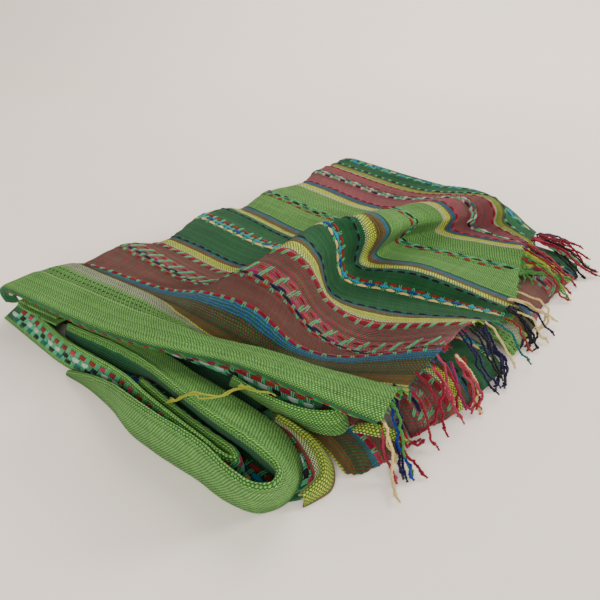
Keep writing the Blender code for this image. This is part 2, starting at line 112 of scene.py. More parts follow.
class Finish:
    """One material and the nodes that make it."""

    def __init__(self, name, roughness, sheen):
        self.material = bpy.data.materials.new(name)
        self.material.use_nodes = True
        self.tree = self.material.node_tree
        self.surface = self.tree.nodes["Principled BSDF"]
        self.where = None
        self.surface.inputs["Roughness"].default_value = roughness
        self.surface.inputs["Sheen Weight"].default_value = sheen
        self.surface.inputs["Sheen Roughness"].default_value = 0.5
        self.surface.inputs["Specular IOR Level"].default_value = 0.12

    def node(self, kind, settings=(), values=()):
        """Adds a node. Its settings are set first, then its sockets."""
        made = self.tree.nodes.new(kind)
        for name, value in dict(settings).items():
            if name == "stops":
                self.set_stops(made.color_ramp, value)
            else:
                setattr(made, name, value)
        for name, value in dict(values).items():
            self.join(made.inputs[name], value)
        return made

    def set_stops(self, ramp, stops):
        ramp.interpolation = "CONSTANT"
        while len(ramp.elements) > 1:
            ramp.elements.remove(ramp.elements[-1])
        for place, colour in stops[1:]:
            ramp.elements.new(place).color = (*colour, 1.0)
        ramp.elements[0].position = stops[0][0]
        ramp.elements[0].color = (*stops[0][1], 1.0)

    def join(self, socket, value):
        if isinstance(value, Field):
            value = value.socket
        if isinstance(value, bpy.types.NodeSocket):
            self.tree.links.new(value, socket)
        elif isinstance(value, tuple) and len(value) == 3 and socket.type == "RGBA":
            socket.default_value = (*value, 1.0)
        else:
            socket.default_value = value

    def mix(self, share, low, high, blend="MIX"):
        settings = {"data_type": "RGBA", "blend_type": blend}
        return self.node("ShaderNodeMix", settings, {0: share, 6: low, 7: high}).outputs[2]

    def shade(self, colour, light):
        """The colour made lighter or darker by a number."""
        parts = {0: light, 1: light, 2: light}
        grey = self.node("ShaderNodeCombineColor", {}, parts).outputs[0]
        return self.mix(1.0, colour, grey, "MULTIPLY")

    def place(self):
        """The place on the panel: along the stripes and across them, in metres."""
        panel = self.node("ShaderNodeTexCoord").outputs["UV"]
        parts = self.node("ShaderNodeSeparateXYZ", {}, {0: panel})
        return Field(self, parts.outputs[0]), Field(self, parts.outputs[1])

    def chance(self, number):
        """A fixed random number from 0 to 1 for each whole number."""
        settings = {"noise_dimensions": "1D"}
        made = self.node("ShaderNodeTexWhiteNoise", settings, {"W": number})
        return Field(self, made.outputs["Value"])

    def grain(self, scale, detail):
        """A smooth random number from 0 to 1, with this many waves a metre."""
        if self.where is None:
            self.where = self.node("ShaderNodeTexCoord").outputs["Object"]
        values = {"Vector": self.where, "Scale": scale, "Detail": detail}
        return Field(self, self.node("ShaderNodeTexNoise", {}, values).outputs[0])

    def raised(self, height, distance):
        """Lets the light see a height, where 1 stands for a distance in metres."""
        values = {"Strength": 1.0, "Distance": distance, "Height": height}
        bump = self.node("ShaderNodeBump", {}, values)
        self.join(self.surface.inputs["Normal"], bump.outputs[0])


def paint(red, green, blue):
    """A colour as the shader takes it, from the 0 to 255 of a colour chart."""
    return tuple((part / 255.0) ** 2.2 for part in (red, green, blue))


LIGHT_GREEN = paint(112, 164, 74)
# Painted highlight: a lighter band of the border's green where a crease in it catches the light.
CREASE_HIGHLIGHT = paint(138, 186, 92)
SPECKLED_GREY = paint(172, 170, 140)
LIME = paint(212, 218, 70)
BROWN = paint(120, 62, 34)
WINE_BROWN = paint(84, 44, 38)
STEEL_BLUE = paint(48, 84, 132)
CRIMSON_MAUVE = paint(186, 26, 72)
MAUVE = paint(132, 28, 62)
PINK_MAUVE = paint(166, 44, 84)
GREY_GREEN = paint(190, 196, 140)
DARK_GREEN = paint(12, 80, 46)
DEEP_GREEN = paint(8, 60, 36)
PALE_STRIPE = paint(222, 206, 150)
OLIVE_LIME = paint(164, 174, 56)
WEFT_GREEN = paint(34, 82, 46)
WEFT_PALE = paint(58, 110, 58)
# Painted shade: the dark that shows through the open slots in the border.
SLOT_SHADE = paint(18, 44, 12)
LADDER_GROUND = paint(34, 86, 58)
THREAD = 1.05             # from one thread to the next
# Where each stripe begins, counted across the panel from the front crease. One
# colour ramp holds at most 32 stripes, so the far ones have their own.
STRIPES_NEAR = (
    # The band from 27 mm is the painted highlight along the crease, laid in as a stripe.
    (-70.0, LIGHT_GREEN), (-12.0, LADDER_GROUND), (-1.2, LIGHT_GREEN), (27.0, CREASE_HIGHLIGHT),
    (28.6, LIGHT_GREEN), (43.5, SPECKLED_GREY), (55.0, LIME), (58.0, BROWN), (66.0, WINE_BROWN),
    (77.8, STEEL_BLUE), (82.5, CRIMSON_MAUVE),
    (86.0, MAUVE), (120.0, PINK_MAUVE), (135.0, MAUVE), (146.0, CRIMSON_MAUVE),
    (149.0, GREY_GREEN), (152.5, LIME), (159.0, BROWN), (162.0, STEEL_BLUE), (166.0, DARK_GREEN),
    (201.0, DEEP_GREEN), (215.0, DARK_GREEN), (238.5, GREY_GREEN), (241.5, LIME), (246.5, BROWN),
    (250.0, STEEL_BLUE), (254.5, DEEP_GREEN), (258.0, LIGHT_GREEN),
)
STRIPES_FAR = (
    (300.0, LIGHT_GREEN), (330.0, PALE_STRIPE), (333.5, LIME), (339.5, BROWN), (343.0, STEEL_BLUE),
    (349.0, CRIMSON_MAUVE), (352.0, PINK_MAUVE), (403.0, CRIMSON_MAUVE), (406.0, GREY_GREEN),
    (409.5, OLIVE_LIME), (421.0, BROWN), (425.0, DARK_GREEN),
)
FAR_FROM = 310.0
PANEL_START = -70.0
PANEL_WIDTH = 560.0
OPEN_ROWS = (31.5, 36.0, 40.5)   # rows of small open slots in the border
OPEN_PITCH = 4.3
OPEN_SHARE = 0.46
OPEN_HALF_WIDTH = 0.75
COUNT_FROM = 1000.0       # keeps the numbers of threads above nought
WEAVE_DEPTH = 0.55


def woven_stripes():
    cloth = Finish("woven_stripes", 0.9, 0.06)
    along, across = cloth.place()
    uneven_edge = (cloth.grain(160.0, 2.0) - 0.5) * (1.3 * MM)
    share = ((across + uneven_edge) / MM - PANEL_START) / PANEL_WIDTH
    ramps = []
    for stripes in (STRIPES_NEAR, STRIPES_FAR):
        stops = [((start - PANEL_START) / PANEL_WIDTH, colour) for start, colour in stripes]
        ramps.append(cloth.node("ShaderNodeValToRGB", {"stops": stops}, {0: share}).outputs[0])
    warp_colour = cloth.mix(across > FAR_FROM * MM, ramps[0], ramps[1])

    # Threads run over and under one another, and each one wanders a little.
    drift = (cloth.grain(210.0, 1.0) - 0.5) * 0.9
    warp = across / (THREAD * MM) + drift + COUNT_FROM
    weft = along / (THREAD * MM) + drift + COUNT_FROM
    warp_number = warp.floor()
    weft_number = weft.floor()
    warp_side = warp.fraction() * 2.0 - 1.0
    weft_side = weft.fraction() * 2.0 - 1.0
    warp_round = 1.0 - warp_side * warp_side
    weft_round = 1.0 - weft_side * weft_side
    over = (warp_number + weft_number).math("MODULO", 2.0)
    warp_height = warp_round * (over * weft_round * 0.55 + 0.52)
    weft_height = weft_round * ((1.0 - over) * warp_round * 0.66 + 0.30)
    height = warp_height.larger(weft_height)
    warp_shows = warp_height > weft_height

    # Each thread has its own tone, each fibre of it too, and the whole cloth clouds. Shade is
    # painted in as well: each thread darkens towards its sides, and the gaps between threads
    # darkest.
    fibre = cloth.grain(2600.0, 2.0)
    cloudy = cloth.grain(42.0, 3.0)
    uneven = cloth.chance(warp_number) * 0.42 + cloth.chance(weft_number + 77.0) * 0.20
    lines = [(across - row * MM).size() < OPEN_HALF_WIDTH * MM for row in OPEN_ROWS]
    slot = (along / (OPEN_PITCH * MM) + COUNT_FROM).fraction() < OPEN_SHARE
    holes = lines[0].larger(lines[1]).larger(lines[2]) * slot
    weft_tint = cloth.mix(cloudy, WEFT_GREEN, WEFT_PALE)
    colour = cloth.mix(warp_shows, weft_tint, warp_colour)
    # The open slots are painted with shade, the dark seen through them.
    colour = cloth.mix(holes, colour, SLOT_SHADE)
    # Painted shade: the height of the weave darkens the sides of each thread and the gaps between
    # threads.
    weave_shade_and_thread_tone = (height * 1.05 + 0.10) * (uneven + 0.72)
    light = weave_shade_and_thread_tone * (cloudy * 0.36 + 0.84) * (fibre * 0.3 + 0.86)
    cloth.join(cloth.surface.inputs["Base Color"], cloth.shade(colour, light))
    cloth.raised(height + fibre * 0.12 - holes * 0.7, WEAVE_DEPTH * MM)
    return cloth.material


STRIPED_FINISH = woven_stripes()
CLOTH_THICKNESS = 1.3


def spline(points, steps):
    """A smooth curve through points, steps[i] pieces between i and i + 1."""
    path = [Vector(p) for p in points]
    path = [path[0] * 2 - path[1]] + path + [path[-1] * 2 - path[-2]]
    times = [0.0]
    for a, b in zip(path, path[1:]):
        times.append(times[-1] + max((b - a).length, 1e-6) ** 0.5)
    curve = [path[1].copy()]
    for i in range(1, len(path) - 2):
        p0, p1, p2, p3 = path[i - 1:i + 3]
        t0, t1, t2, t3 = times[i - 1:i + 3]
        for k in range(1, steps[i - 1] + 1):
            t = t1 + (t2 - t1) * k / steps[i - 1]
            a1 = p0 * ((t1 - t) / (t1 - t0)) + p1 * ((t - t0) / (t1 - t0))
            a2 = p1 * ((t2 - t) / (t2 - t1)) + p2 * ((t - t1) / (t2 - t1))
            a3 = p2 * ((t3 - t) / (t3 - t2)) + p3 * ((t - t2) / (t3 - t2))
            b1 = a1 * ((t2 - t) / (t2 - t0)) + a2 * ((t - t0) / (t2 - t0))
            b2 = a2 * ((t3 - t) / (t3 - t1)) + a3 * ((t - t1) / (t3 - t1))
            curve.append(b1 * ((t2 - t) / (t2 - t1)) + b2 * ((t - t1) / (t2 - t1)))
    return curve


def named(columns, rows):
    """The rows of a table, each with its values by the names of the columns."""
    return [dict(zip(columns, row)) for row in rows]


def along_runs(knots, values, x):
    """The value at x on straight runs between knots."""
    i = min(max(bisect.bisect_right(knots, x) - 1, 0), len(knots) - 2)
    share = (x - knots[i]) / (knots[i + 1] - knots[i])
    return values[i] + (values[i + 1] - values[i]) * share


class Cloth:
    """A stretch of the panel: a grid of points, each with its place on the panel.

    Its lines run along the stripes. line_v is the place of each line across the
    panel, and u is measured along it from u_start. All are in millimetres.
    """

    def __init__(self, lines, line_v, steps_along, steps_across, u_start=0.0):
        runs = [spline(line, steps_along) for line in lines]
        columns = [spline(list(column), steps_across) for column in zip(*runs)]
        self.points = [list(row) for row in zip(*columns)]
        self.v = [line_v[0]]
        for i, steps in enumerate(steps_across):
            for k in range(1, steps + 1):
                self.v.append(line_v[i] + (line_v[i + 1] - line_v[i]) * k / steps)
        self.u = []
        for row in self.points:
            places = [u_start]
            for a, b in zip(row, row[1:]):
                places.append(places[-1] + (b - a).length)
            self.u.append(places)

    def normal(self, row, column):
        last_row = len(self.points) - 1
        last_column = len(self.points[0]) - 1
        left = self.points[row][max(column - 1, 0)]
        right = self.points[row][min(column + 1, last_column)]
        before = self.points[max(row - 1, 0)][column]
        after = self.points[min(row + 1, last_row)][column]
        return (right - left).cross(after - before).normalized()

    def move(self, amount):
        """Moves each point along its normal by amount(point, u, v)."""
        moved = []
        for r, row in enumerate(self.points):
            moved.append([p + self.normal(r, c) * amount(p, self.u[r][c], self.v[r])
                          for c, p in enumerate(row)])
        self.points = moved

    def fray_end(self, amount, columns):
        """Makes the cut end at the last column a little ragged."""
        for r, row in enumerate(self.points):
            way = (row[-1] - row[-2]).normalized()
            tufts = noise.noise(Vector((self.v[r] / 6.0, 3.3, 0.0)))
            threads = noise.noise(Vector((self.v[r], 8.8, 0)))
            ragged = tufts + 0.6 * threads
            for k in range(columns):
                row[-1 - k] = row[-1 - k] + way * ragged * amount * (1 - k / columns)

    def row_at(self, v):
        """The row of points nearest to a place across the panel."""
        return min(range(len(self.v)), key=lambda r: abs(self.v[r] - v))

    def spot(self, u, v):
        """The point at a place on the panel, and the normal there."""
        falling = self.v[0] > self.v[-1]
        ladder = [-x for x in self.v] if falling else self.v
        target = -v if falling else v
        r = min(max(bisect.bisect_right(ladder, target) - 1, 0), len(ladder) - 2)
        share_v = (target - ladder[r]) / (ladder[r + 1] - ladder[r])
        ends = []
        for row in (r, r + 1):
            places = self.u[row]
            c = min(max(bisect.bisect_right(places, u) - 1, 0), len(places) - 2)
            share_u = (u - places[c]) / (places[c + 1] - places[c])
            point = self.points[row][c].lerp(self.points[row][c + 1], share_u)
            ends.append((point, self.normal(row, c)))
        point = ends[0][0].lerp(ends[1][0], share_v)
        normal = ends[0][1].lerp(ends[1][1], share_v).normalized()
        return point, normal

    def cut(self):
        """The width and length that this stretch was cut to, in metres."""
        lengths = [row[-1] - row[0] for row in self.u]
        widths = []
        for column in range(0, len(self.points[0]), 4):
            line = [row[column] for row in self.points]
            widths.append(sum((b - a).length for a, b in zip(line, line[1:])))
        return sum(widths) / len(widths) * MM, sum(lengths) / len(lengths) * MM

    def make(self, name, slot, node=None):
        """The cloth as a thin shell, in place of its node where it has one."""
        mesh = bpy.data.meshes.new(name)
        width = len(self.points[0])
        corners = [point * MM for row in self.points for point in row]
        faces = []
        for r in range(len(self.points) - 1):
            for c in range(width - 1):
                a = r * width + c
                faces.append((a, a + 1, a + width + 1, a + width))
        mesh.from_pydata(corners, [], faces)
        panel = mesh.uv_layers.new(name="panel")
        for loop in mesh.loops:
            r, c = divmod(loop.vertex_index, width)
            panel.data[loop.index].uv = (self.u[r][c] * MM, self.v[r] * MM)
        mesh.materials.append(STRIPED_FINISH)
        mesh.shade_smooth()
        piece = bpy.data.objects.new(name, mesh)
        bpy.context.scene.collection.objects.link(piece)
        wall = piece.modifiers.new("wall", "SOLIDIFY")
        wall.thickness = CLOTH_THICKNESS * MM
        wall.offset = 0.0
        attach(piece, "root")
        if node:
            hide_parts(node)
        return piece


# The top layer is the length of the panel that shows most. It rolls over the
# left fold edge, runs flat, rises in one big ruck across the stripes, falls
# behind it and ends in the fringe. Its near border turns under along a crease.
STRIPE_X = (-140.0, -50.0, 10.0, 66.0, 150.0)
TOP_COLUMNS = ("v", "y_left", "y_mid", "y_ridge", "y_dale", "y_end", "edge_x", "left_z",
               "crest_x", "crest_z", "nose_x", "nose_z", "foot_x", "foot_z",
               "dale_x", "dale_z", "end_x", "end_z", "steps")
TOP_ROWS = (
    ( -9, -169, -152, -136, -111,  -97, -135, 25,  0, 26, 24, 27, 62, 27, 100, 27, 150, 28, 4),
    (-3.5, -174, -157, -141, -116, -102, -139, 27,  0, 28, 24, 29, 62, 29, 100, 30, 153, 31, 4),
    (  0, -175, -158, -142, -117, -103, -143, 30,  0, 31, 24, 32, 62, 32, 100, 33, 156, 34, 8),
    ( 12, -163, -146, -130, -106,  -87, -145, 31,  0, 33, 24, 33, 62, 32, 100, 33, 152, 35, 9),
    ( 27, -148, -131, -117,  -94,  -69, -146, 31,  0, 32, 24, 31, 62, 31, 100, 30, 146, 32, 12),
    ( 57, -120, -105, -109,  -87,  -63, -141, 30, -5, 31, 20, 25, 60, 19, 100, 20, 147, 30, 7),
    ( 75, -118.8, -103.2, -99, -80, -48, -138, 29.5, -5, 34, 27, 31, 62, 20, 96, 20, 148, 37, 8),
    ( 83, -117,  -93,  -84,  -70,  -34, -136, 29, -4, 40, 34, 40, 64, 22,  90, 20, 149, 43, 16),
    (128,  -72,  -73,  -60,  -46,  -24, -139, 31,  8, 53, 35, 45, 58, 23,  90, 15, 147, 40, 13),
    (149,  -51,  -44,  -33,  -16,   20, -127, 28, 14, 61, 31, 54, 50, 27,  80, 18, 140, 34, 9),
    (165,  -35,  -30,  -12,    8,   42, -127, 28, 10, 62, 24, 51, 35, 21,  72, 16, 143, 26, 18),
    (208,    8,    8,   26,   50,   68, -141, 31,  4, 61, 14, 50, 20, 18,  60, 14, 145, 17, 14),
    (238,   38,   36,   44,   60,   80, -142, 29, 12, 61, 21, 47, 20, 21,  66, 26, 142, 16, 9),
    (252,   52,   49,   60,   73,   92, -132, 28, 18, 61, 32, 50, 23, 24,  66, 26, 138, 16, 18),
    (291,   91,   88,  101,  115,  136, -141, 31, 13, 52, 32, 44, 20, 25,  64, 22, 120, 22, 20),
    (347,  144,  142,  143,  155,  170, -138, 28, 29, 49, 43, 39, 40, 26,  76, 25, 105, 28, 14),
    (374,  173,  172,  171,  172,  180, -147, 31, 43, 48, 53, 39, 52, 27,  76, 23,  97, 23, 14),
    (427,  205,  205,  196,  193,  200, -151, 30, 58, 47, 68, 39, 70, 29,  82, 23,  97, 18, 12),
    (452,  229,  228,  225,  219,  214, -150, 31, 20, 36, 48, 34, 62, 30,  78, 22,  91, 14, 10),
    (469,  243,  244,  240,  234,  226, -147, 22, 20, 24, 46, 22, 60, 19,  74, 14,  86, 10, 5),
    (480,  244,  246,  241,  235,  227, -144, 14, 20, 13, 45, 11, 58, 10,  72,  8,  83,  6, 1),
)
LEFT_TUCK_Z = 16.5
# Creases in the layer, from one place on the table to another, with the width
# and height of each. A height below nought is a groove.
TOP_CREASES = (
    (-150, -150,  -60, -134, 2.6,  1.0),
    (-146, -142,  -10, -118, 3.2, -0.9),
    (-130, -168,  -20, -150, 3.5,  0.7),
    ( -70, -150,   60, -118, 3.0, -0.5),
    ( -40, -114,   20, -101, 3.6, -1.7),
    (  10, -118,   90,  -92, 3.0, -0.9),
    (  84, -112,  140,  -92, 3.0,  0.7),
    ( -60,  -88,   -5,  -92, 5.0,  1.2),
    (-120,  -84,  -50,  -82, 3.0, -0.6),
    ( -90,   70,  -10,   84, 4.0,  1.2),
    ( -95,   84,  -25,   96, 3.6, -1.1),
    ( -80,  104,    5,  112, 4.0,  1.2),
    ( -70,  118,   10,  124, 3.8, -1.0),
    ( -60,  132,   20,  136, 4.0,  0.9),
    (  36,  100,  100,  124, 2.6,  1.0),
    (  34,   92,   98,  108, 2.6, -1.0),
    (  52,  118,  104,  140, 2.4,  0.8),
    (  62,  -40,  118,  -34, 4.0, -1.0),
    (  60,  -10,  130,    8, 4.0,  1.0),
    (  62,   30,  140,   52, 3.6,  0.9),
    (  70,   52,  132,   70, 2.6, -0.7),
    ( -40,  180,   30,  178, 4.0,  1.0),
    (-120,  214,  -20,  218, 3.4,  1.3),
    (-100,  224,   10,  226, 3.0, -1.0),
)


def top_line(row):
    """One stripe line of the top layer, from under the fold edge to the end."""
    place = (row["y_left"], row["y_mid"], row["y_ridge"], row["y_dale"], row["y_end"])
    edge_x = row["edge_x"]
    left_z = row["left_z"]
    rise_x = min(row["crest_x"] - 36, -30)
    low_z = max(left_z - 14, min(LEFT_TUCK_Z, left_z - 5))
    fall = left_z - low_z
    turn_in = min(max(fall - 6, 0) * 2, 5)
    knots = (
        (edge_x + turn_in, low_z), (edge_x + 0.5, low_z + fall * 0.35),
        (edge_x + 1, low_z + fall * 0.65), (edge_x + 8, left_z - 0.4),
        (edge_x + 34, left_z), (rise_x, left_z - 0.2),
        (row["crest_x"], row["crest_z"]), (row["nose_x"], row["nose_z"]),
        (row["foot_x"], row["foot_z"]), (row["dale_x"], row["dale_z"]),
        (row["end_x"], row["end_z"]),
    )
    return [(x, along_runs(STRIPE_X, place, x), z) for x, z in knots]


def crease_height(creases, point):
    """How far the creases lift a point of the cloth."""
    lift = 0.0
    for from_x, from_y, to_x, to_y, width, height in creases:
        run = Vector((to_x - from_x, to_y - from_y))
        reach = Vector((point.x - from_x, point.y - from_y))
        share = reach.dot(run) / run.length_squared
        if 0.0 < share < 1.0:
            away = abs(run.x * reach.y - run.y * reach.x) / run.length
            ends = math.sin(math.pi * share) ** 0.6
            lift += height * ends * math.exp(-(away / width) ** 2)
    return lift


def slack(u, v, seed, amount=1.0):
    """The small ripples of loose hand-woven cloth."""
    long_ripple = noise.noise(Vector((u / 60.0, v / 9.0, seed)))
    short_ripple = noise.noise(Vector((u / 14.0, v / 12.0, seed + 20.0)))
    thread_slip = noise.noise(Vector((u / 4.5, v / 3.2, seed + 40.0)))
    return amount * (long_ripple * 0.62 + short_ripple * 0.38 + thread_slip * 0.18)


TOP_START = -150.0        # where the stripes begin, under the left fold edge
TOP_STEPS = (2, 3, 3, 4, 14, 34, 24, 18, 16, 26)
top_rows = named(TOP_COLUMNS, TOP_ROWS)
top_cloth = Cloth([top_line(row) for row in top_rows], [row["v"] for row in top_rows],
                  TOP_STEPS, [row["steps"] for row in top_rows][:-1], TOP_START)
top_cloth.move(lambda p, u, v: crease_height(TOP_CREASES, p) + slack(u, v, 1.0))
top_cloth.fray_end(1.6, 5)
top_piece = top_cloth.make("top_cloth", "striped_cloth", "top_layer")


# The ladders are woven in. Dashes of thick soft yarn float over the cloth in
# rows, and pairs of mint weft threads cross them between the dashes.
YARN_SIDES = 6
TICK_RADIUS = 0.44        # the mint weft threads
TICK_GAP = 1.5
END_GAP = 1.5             # from the last dash to the hem
YARN_COLOURS = {
    "crimson": (paint(146, 12, 44), paint(70, 2, 20)),
    "red_brown": (paint(146, 44, 34), paint(76, 18, 14)),
    "navy": (paint(28, 22, 66), paint(10, 8, 30)),
    "magenta": (paint(150, 16, 84), paint(72, 4, 44)),
    "black": (paint(26, 26, 34), paint(6, 8, 12)),
    "cream": (paint(224, 204, 138), paint(146, 116, 66)),
    "white": (paint(190, 202, 188), paint(104, 130, 116)),
    "cyan": (paint(30, 150, 190), paint(8, 82, 116)),
    "teal": (paint(14, 104, 98), paint(4, 54, 52)),
    "mint": (paint(92, 184, 124), paint(34, 116, 72)),
    "green": (paint(76, 134, 58), paint(38, 88, 32)),
    "olive": (paint(164, 168, 60), paint(104, 112, 28)),
    "pink": (paint(168, 62, 80), paint(112, 24, 44)),
    "blue": (paint(34, 66, 146), paint(10, 30, 88)),
}


def yarn_finish(name, colour, darker):
    yarn = Finish(name, 0.85, 0.12)
    tone = yarn.grain(1500.0, 3.0)
    patch = yarn.grain(120.0, 1.0)
    mixed = yarn.mix(tone * 0.9 + patch * 0.5 - 0.25, darker, colour)
    yarn.join(yarn.surface.inputs["Base Color"], mixed)
    yarn.raised(tone, 0.3 * MM)
    return yarn.material


YARN_FINISH = {name: yarn_finish(name + "_yarn", *pair) for name, pair in YARN_COLOURS.items()}


class Yarn:
    """All the yarn of one colour on one group of pieces, as one mesh."""

    def __init__(self, name, colour):
        self.name = name
        self.colour = colour
        self.shape = bmesh.new()

    def lay(self, path, sizes, ups):
        """A closed yarn along a path. sizes holds its half width and half height."""
        rings = []
        for i, point in enumerate(path):
            run = (path[min(i + 1, len(path) - 1)] - path[max(i - 1, 0)]).normalized()
            side = ups[i].cross(run).normalized()
            up = run.cross(side)
            wide, high = sizes[i]
            ring = []
            for k in range(YARN_SIDES):
                turn = 2 * math.pi * k / YARN_SIDES
                offset = side * (math.cos(turn) * wide) + up * (math.sin(turn) * high)
                ring.append(self.shape.verts.new((point + offset) * MM))
            rings.append(ring)
        for low, high in zip(rings, rings[1:]):
            for k in range(YARN_SIDES):
                m = (k + 1) % YARN_SIDES
                self.shape.faces.new((low[k], low[m], high[m], high[k]))
        self.shape.faces.new(list(reversed(rings[0])))
        self.shape.faces.new(rings[-1])

    def make(self, slot):
        mesh = bpy.data.meshes.new(self.name)
        self.shape.to_mesh(mesh)
        self.shape.free()
        mesh.materials.append(YARN_FINISH[self.colour])
        mesh.shade_smooth()
        piece = bpy.data.objects.new(self.name, mesh)
        bpy.context.scene.collection.objects.link(piece)
        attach(piece, "root")
        return piece


def yarn_set(group, colours):
    return {colour: Yarn(group + "_" + colour, colour) for colour in colours}


def jitter(number):
    """A fixed small random number, mostly from -1 to 1."""
    return noise.noise(Vector((number * 1.37 + 0.31, number * 0.73, 5.5))) * 2.0


def float_dash(yarn, cloth, u, v, length, width, lean, strands):
    """A warp float: soft yarns side by side that rise out of the cloth and dive back."""
    for strand in range(strands):
        aside = (strand - (strands - 1) / 2) * width / strands
        own = jitter(u * 0.7 + v + strand * 3.3)
        path, ups, sizes = [], [], []
        for k in range(6):
            share = k / 5
            arch = math.sin(math.pi * share)
            spread = aside * (0.55 + 0.45 * arch)
            spot_u = u + length * (share - 0.5) * (1 + 0.1 * own)
            point, normal = cloth.spot(spot_u, v + spread + lean * (share - 0.5))
            path.append(point + normal * (0.35 + 0.7 * arch + 0.12 * own))
            ups.append(normal)
            plump = 0.7 + 0.3 * arch ** 0.6
            sizes.append((width / strands * 0.62 * plump, 0.46 * plump))
        yarn.lay(path, sizes, ups)


def weft_tick(yarn, cloth, u, v_from, v_to, lean):
    """A weft thread that crosses a row of floats between two dashes."""
    path, ups, sizes = [], [], []
    for k in range(5):
        share = k / 4
        arch = math.sin(math.pi * share)
        spot_v = v_from + (v_to - v_from) * share
        point, normal = cloth.spot(u + lean * (share - 0.5), spot_v)
        path.append(point + normal * (0.5 + 0.5 * arch))
        ups.append(normal)
        sizes.append((TICK_RADIUS * (0.65 + 0.35 * arch),) * 2)
    yarn.lay(path, sizes, ups)


def weave_floats(group, colours, cloth, rows, u_from, slot):
    """Lays rows of dashes as far as the cloth goes, and weft threads between them.

    It returns the pieces, one for each colour.
    """
    yarns = yarn_set(group, colours)
    for row in rows:
        v = row["v"]
        pitch = row["pitch"]
        u_to = min(cloth.u[cloth.row_at(v + side)][-1] for side in (-3, 0, 3)) - END_GAP
        for i in range(int((u_to - u_from) / pitch) + 1):
            seed = i + v * 3.1
            u = u_from + pitch * (i + row["phase"]) + 0.5 * jitter(seed + 5)
            if not u_from + row["length"] / 2 < u < u_to - row["length"] / 2:
                continue
            colour = row["colours"][i % len(row["colours"])]
            length = row["length"] * (1 + 0.14 * jitter(seed))
            float_dash(yarns[colour], cloth, u, v + 0.3 * jitter(seed + 9), length,
                       row["width"], 0.6 * jitter(seed + 4), row["strands"])
            for k in range(row["ticks"]):
                tick_u = u + pitch / 2 + (k - (row["ticks"] - 1) / 2) * TICK_GAP
                half = row["reach"] * (1 + 0.25 * jitter(seed + k))
                if tick_u < u_to:
                    weft_tick(yarns[row["tick_colour"]], cloth, tick_u, v - half, v + half,
                              1.4 * jitter(seed + 2 * k))
    return [yarn.make(slot) for yarn in yarns.values()]


FLOAT_COLUMNS = ("v", "colours", "length", "width", "strands", "pitch", "phase", "ticks",
                 "reach", "tick_colour")
TOP_FLOATS = (
    ( -3.2, ("red_brown", "red_brown", "crimson"), 7.4, 2.0, 1, 11.6, 0.00, 2, 1.8, "green"),
    ( -6.2, ("white", "black", "teal"),  8.0, 2.4, 2, 11.6, 0.50, 3, 2.4, "mint"),
    ( 84.6, ("crimson",),                8.2, 3.6, 3,  9.4, 0.00, 2, 2.6, "mint"),
    (119.6, ("red_brown", "crimson"),    6.4, 1.6, 1, 12.4, 0.50, 2, 2.4, "mint"),
    (124.6, ("navy", "black", "navy"),   9.8, 2.6, 2, 12.4, 0.00, 2, 4.6, "mint"),
    (128.2, ("navy", "magenta", "red_brown"), 8.6, 2.2, 2, 12.4, 0.40, 2, 5.4, "mint"),
    (133.4, ("crimson", "red_brown"),       6.4, 1.6, 1, 12.4, 0.50, 2, 2.4, "mint"),
    (147.6, ("crimson",),                8.0, 3.2, 3,  9.2, 0.30, 2, 2.4, "mint"),
    (168.0, ("black",),                  7.0, 1.9, 1,  9.4, 0.00, 2, 2.2, "teal"),
    (203.2, ("cream",),                  8.2, 3.0, 2, 11.6, 0.00, 2, 3.6, "mint"),
    (208.0, ("cyan", "cyan", "blue"),    8.2, 3.0, 2, 11.6, 0.50, 2, 3.6, "mint"),
    (212.8, ("red_brown",),              8.2, 2.8, 2, 11.6, 0.00, 2, 3.6, "mint"),
    (235.6, ("black",),                  7.0, 1.9, 1,  9.4, 0.30, 2, 2.2, "teal"),
    (287.0, ("red_brown",),              7.8, 2.6, 2, 12.6, 0.00, 2, 2.2, "green"),
    (291.2, ("black", "teal"),           7.8, 2.6, 2, 12.6, 0.50, 2, 2.4, "mint"),
    (294.8, ("mint", "black"),           5.8, 1.8, 1, 12.6, 0.10, 1, 1.6, "mint"),
    (350.6, ("crimson",),                6.8, 2.2, 1,  9.0, 0.00, 2, 2.2, "pink"),
    (369.0, ("mint", "black"),           6.6, 2.4, 2, 10.6, 0.00, 2, 2.2, "white"),
    (373.4, ("white", "teal"),           6.6, 2.4, 2, 10.6, 0.50, 2, 2.4, "mint"),
    (377.6, ("red_brown", "crimson"),    5.6, 1.6, 1, 10.6, 0.00, 1, 1.6, "pink"),
    (404.4, ("crimson",),                6.8, 2.2, 1,  9.0, 0.40, 2, 2.2, "pink"),
    (428.6, ("black", "teal"),           6.6, 1.8, 1,  9.4, 0.20, 2, 2.2, "mint"),
    (442.0, ("teal", "cyan"),            8.2, 2.8, 2, 11.0, 0.00, 2, 2.8, "mint"),
    (446.4, ("mint", "cream", "cyan"),   8.2, 2.6, 2, 11.0, 0.50, 2, 2.6, "teal"),
)
TOP_FLOAT_COLOURS = ("crimson", "red_brown", "navy", "magenta", "black", "cream", "white",
                     "cyan", "teal", "mint", "green", "pink", "blue")
TOP_FLOATS_FROM = -146.0
top_float_rows = named(FLOAT_COLUMNS, TOP_FLOATS)
top_floats = weave_floats("top_floats", TOP_FLOAT_COLOURS, top_cloth, top_float_rows,
                          TOP_FLOATS_FROM, "striped_cloth")
top_cloth.cut()


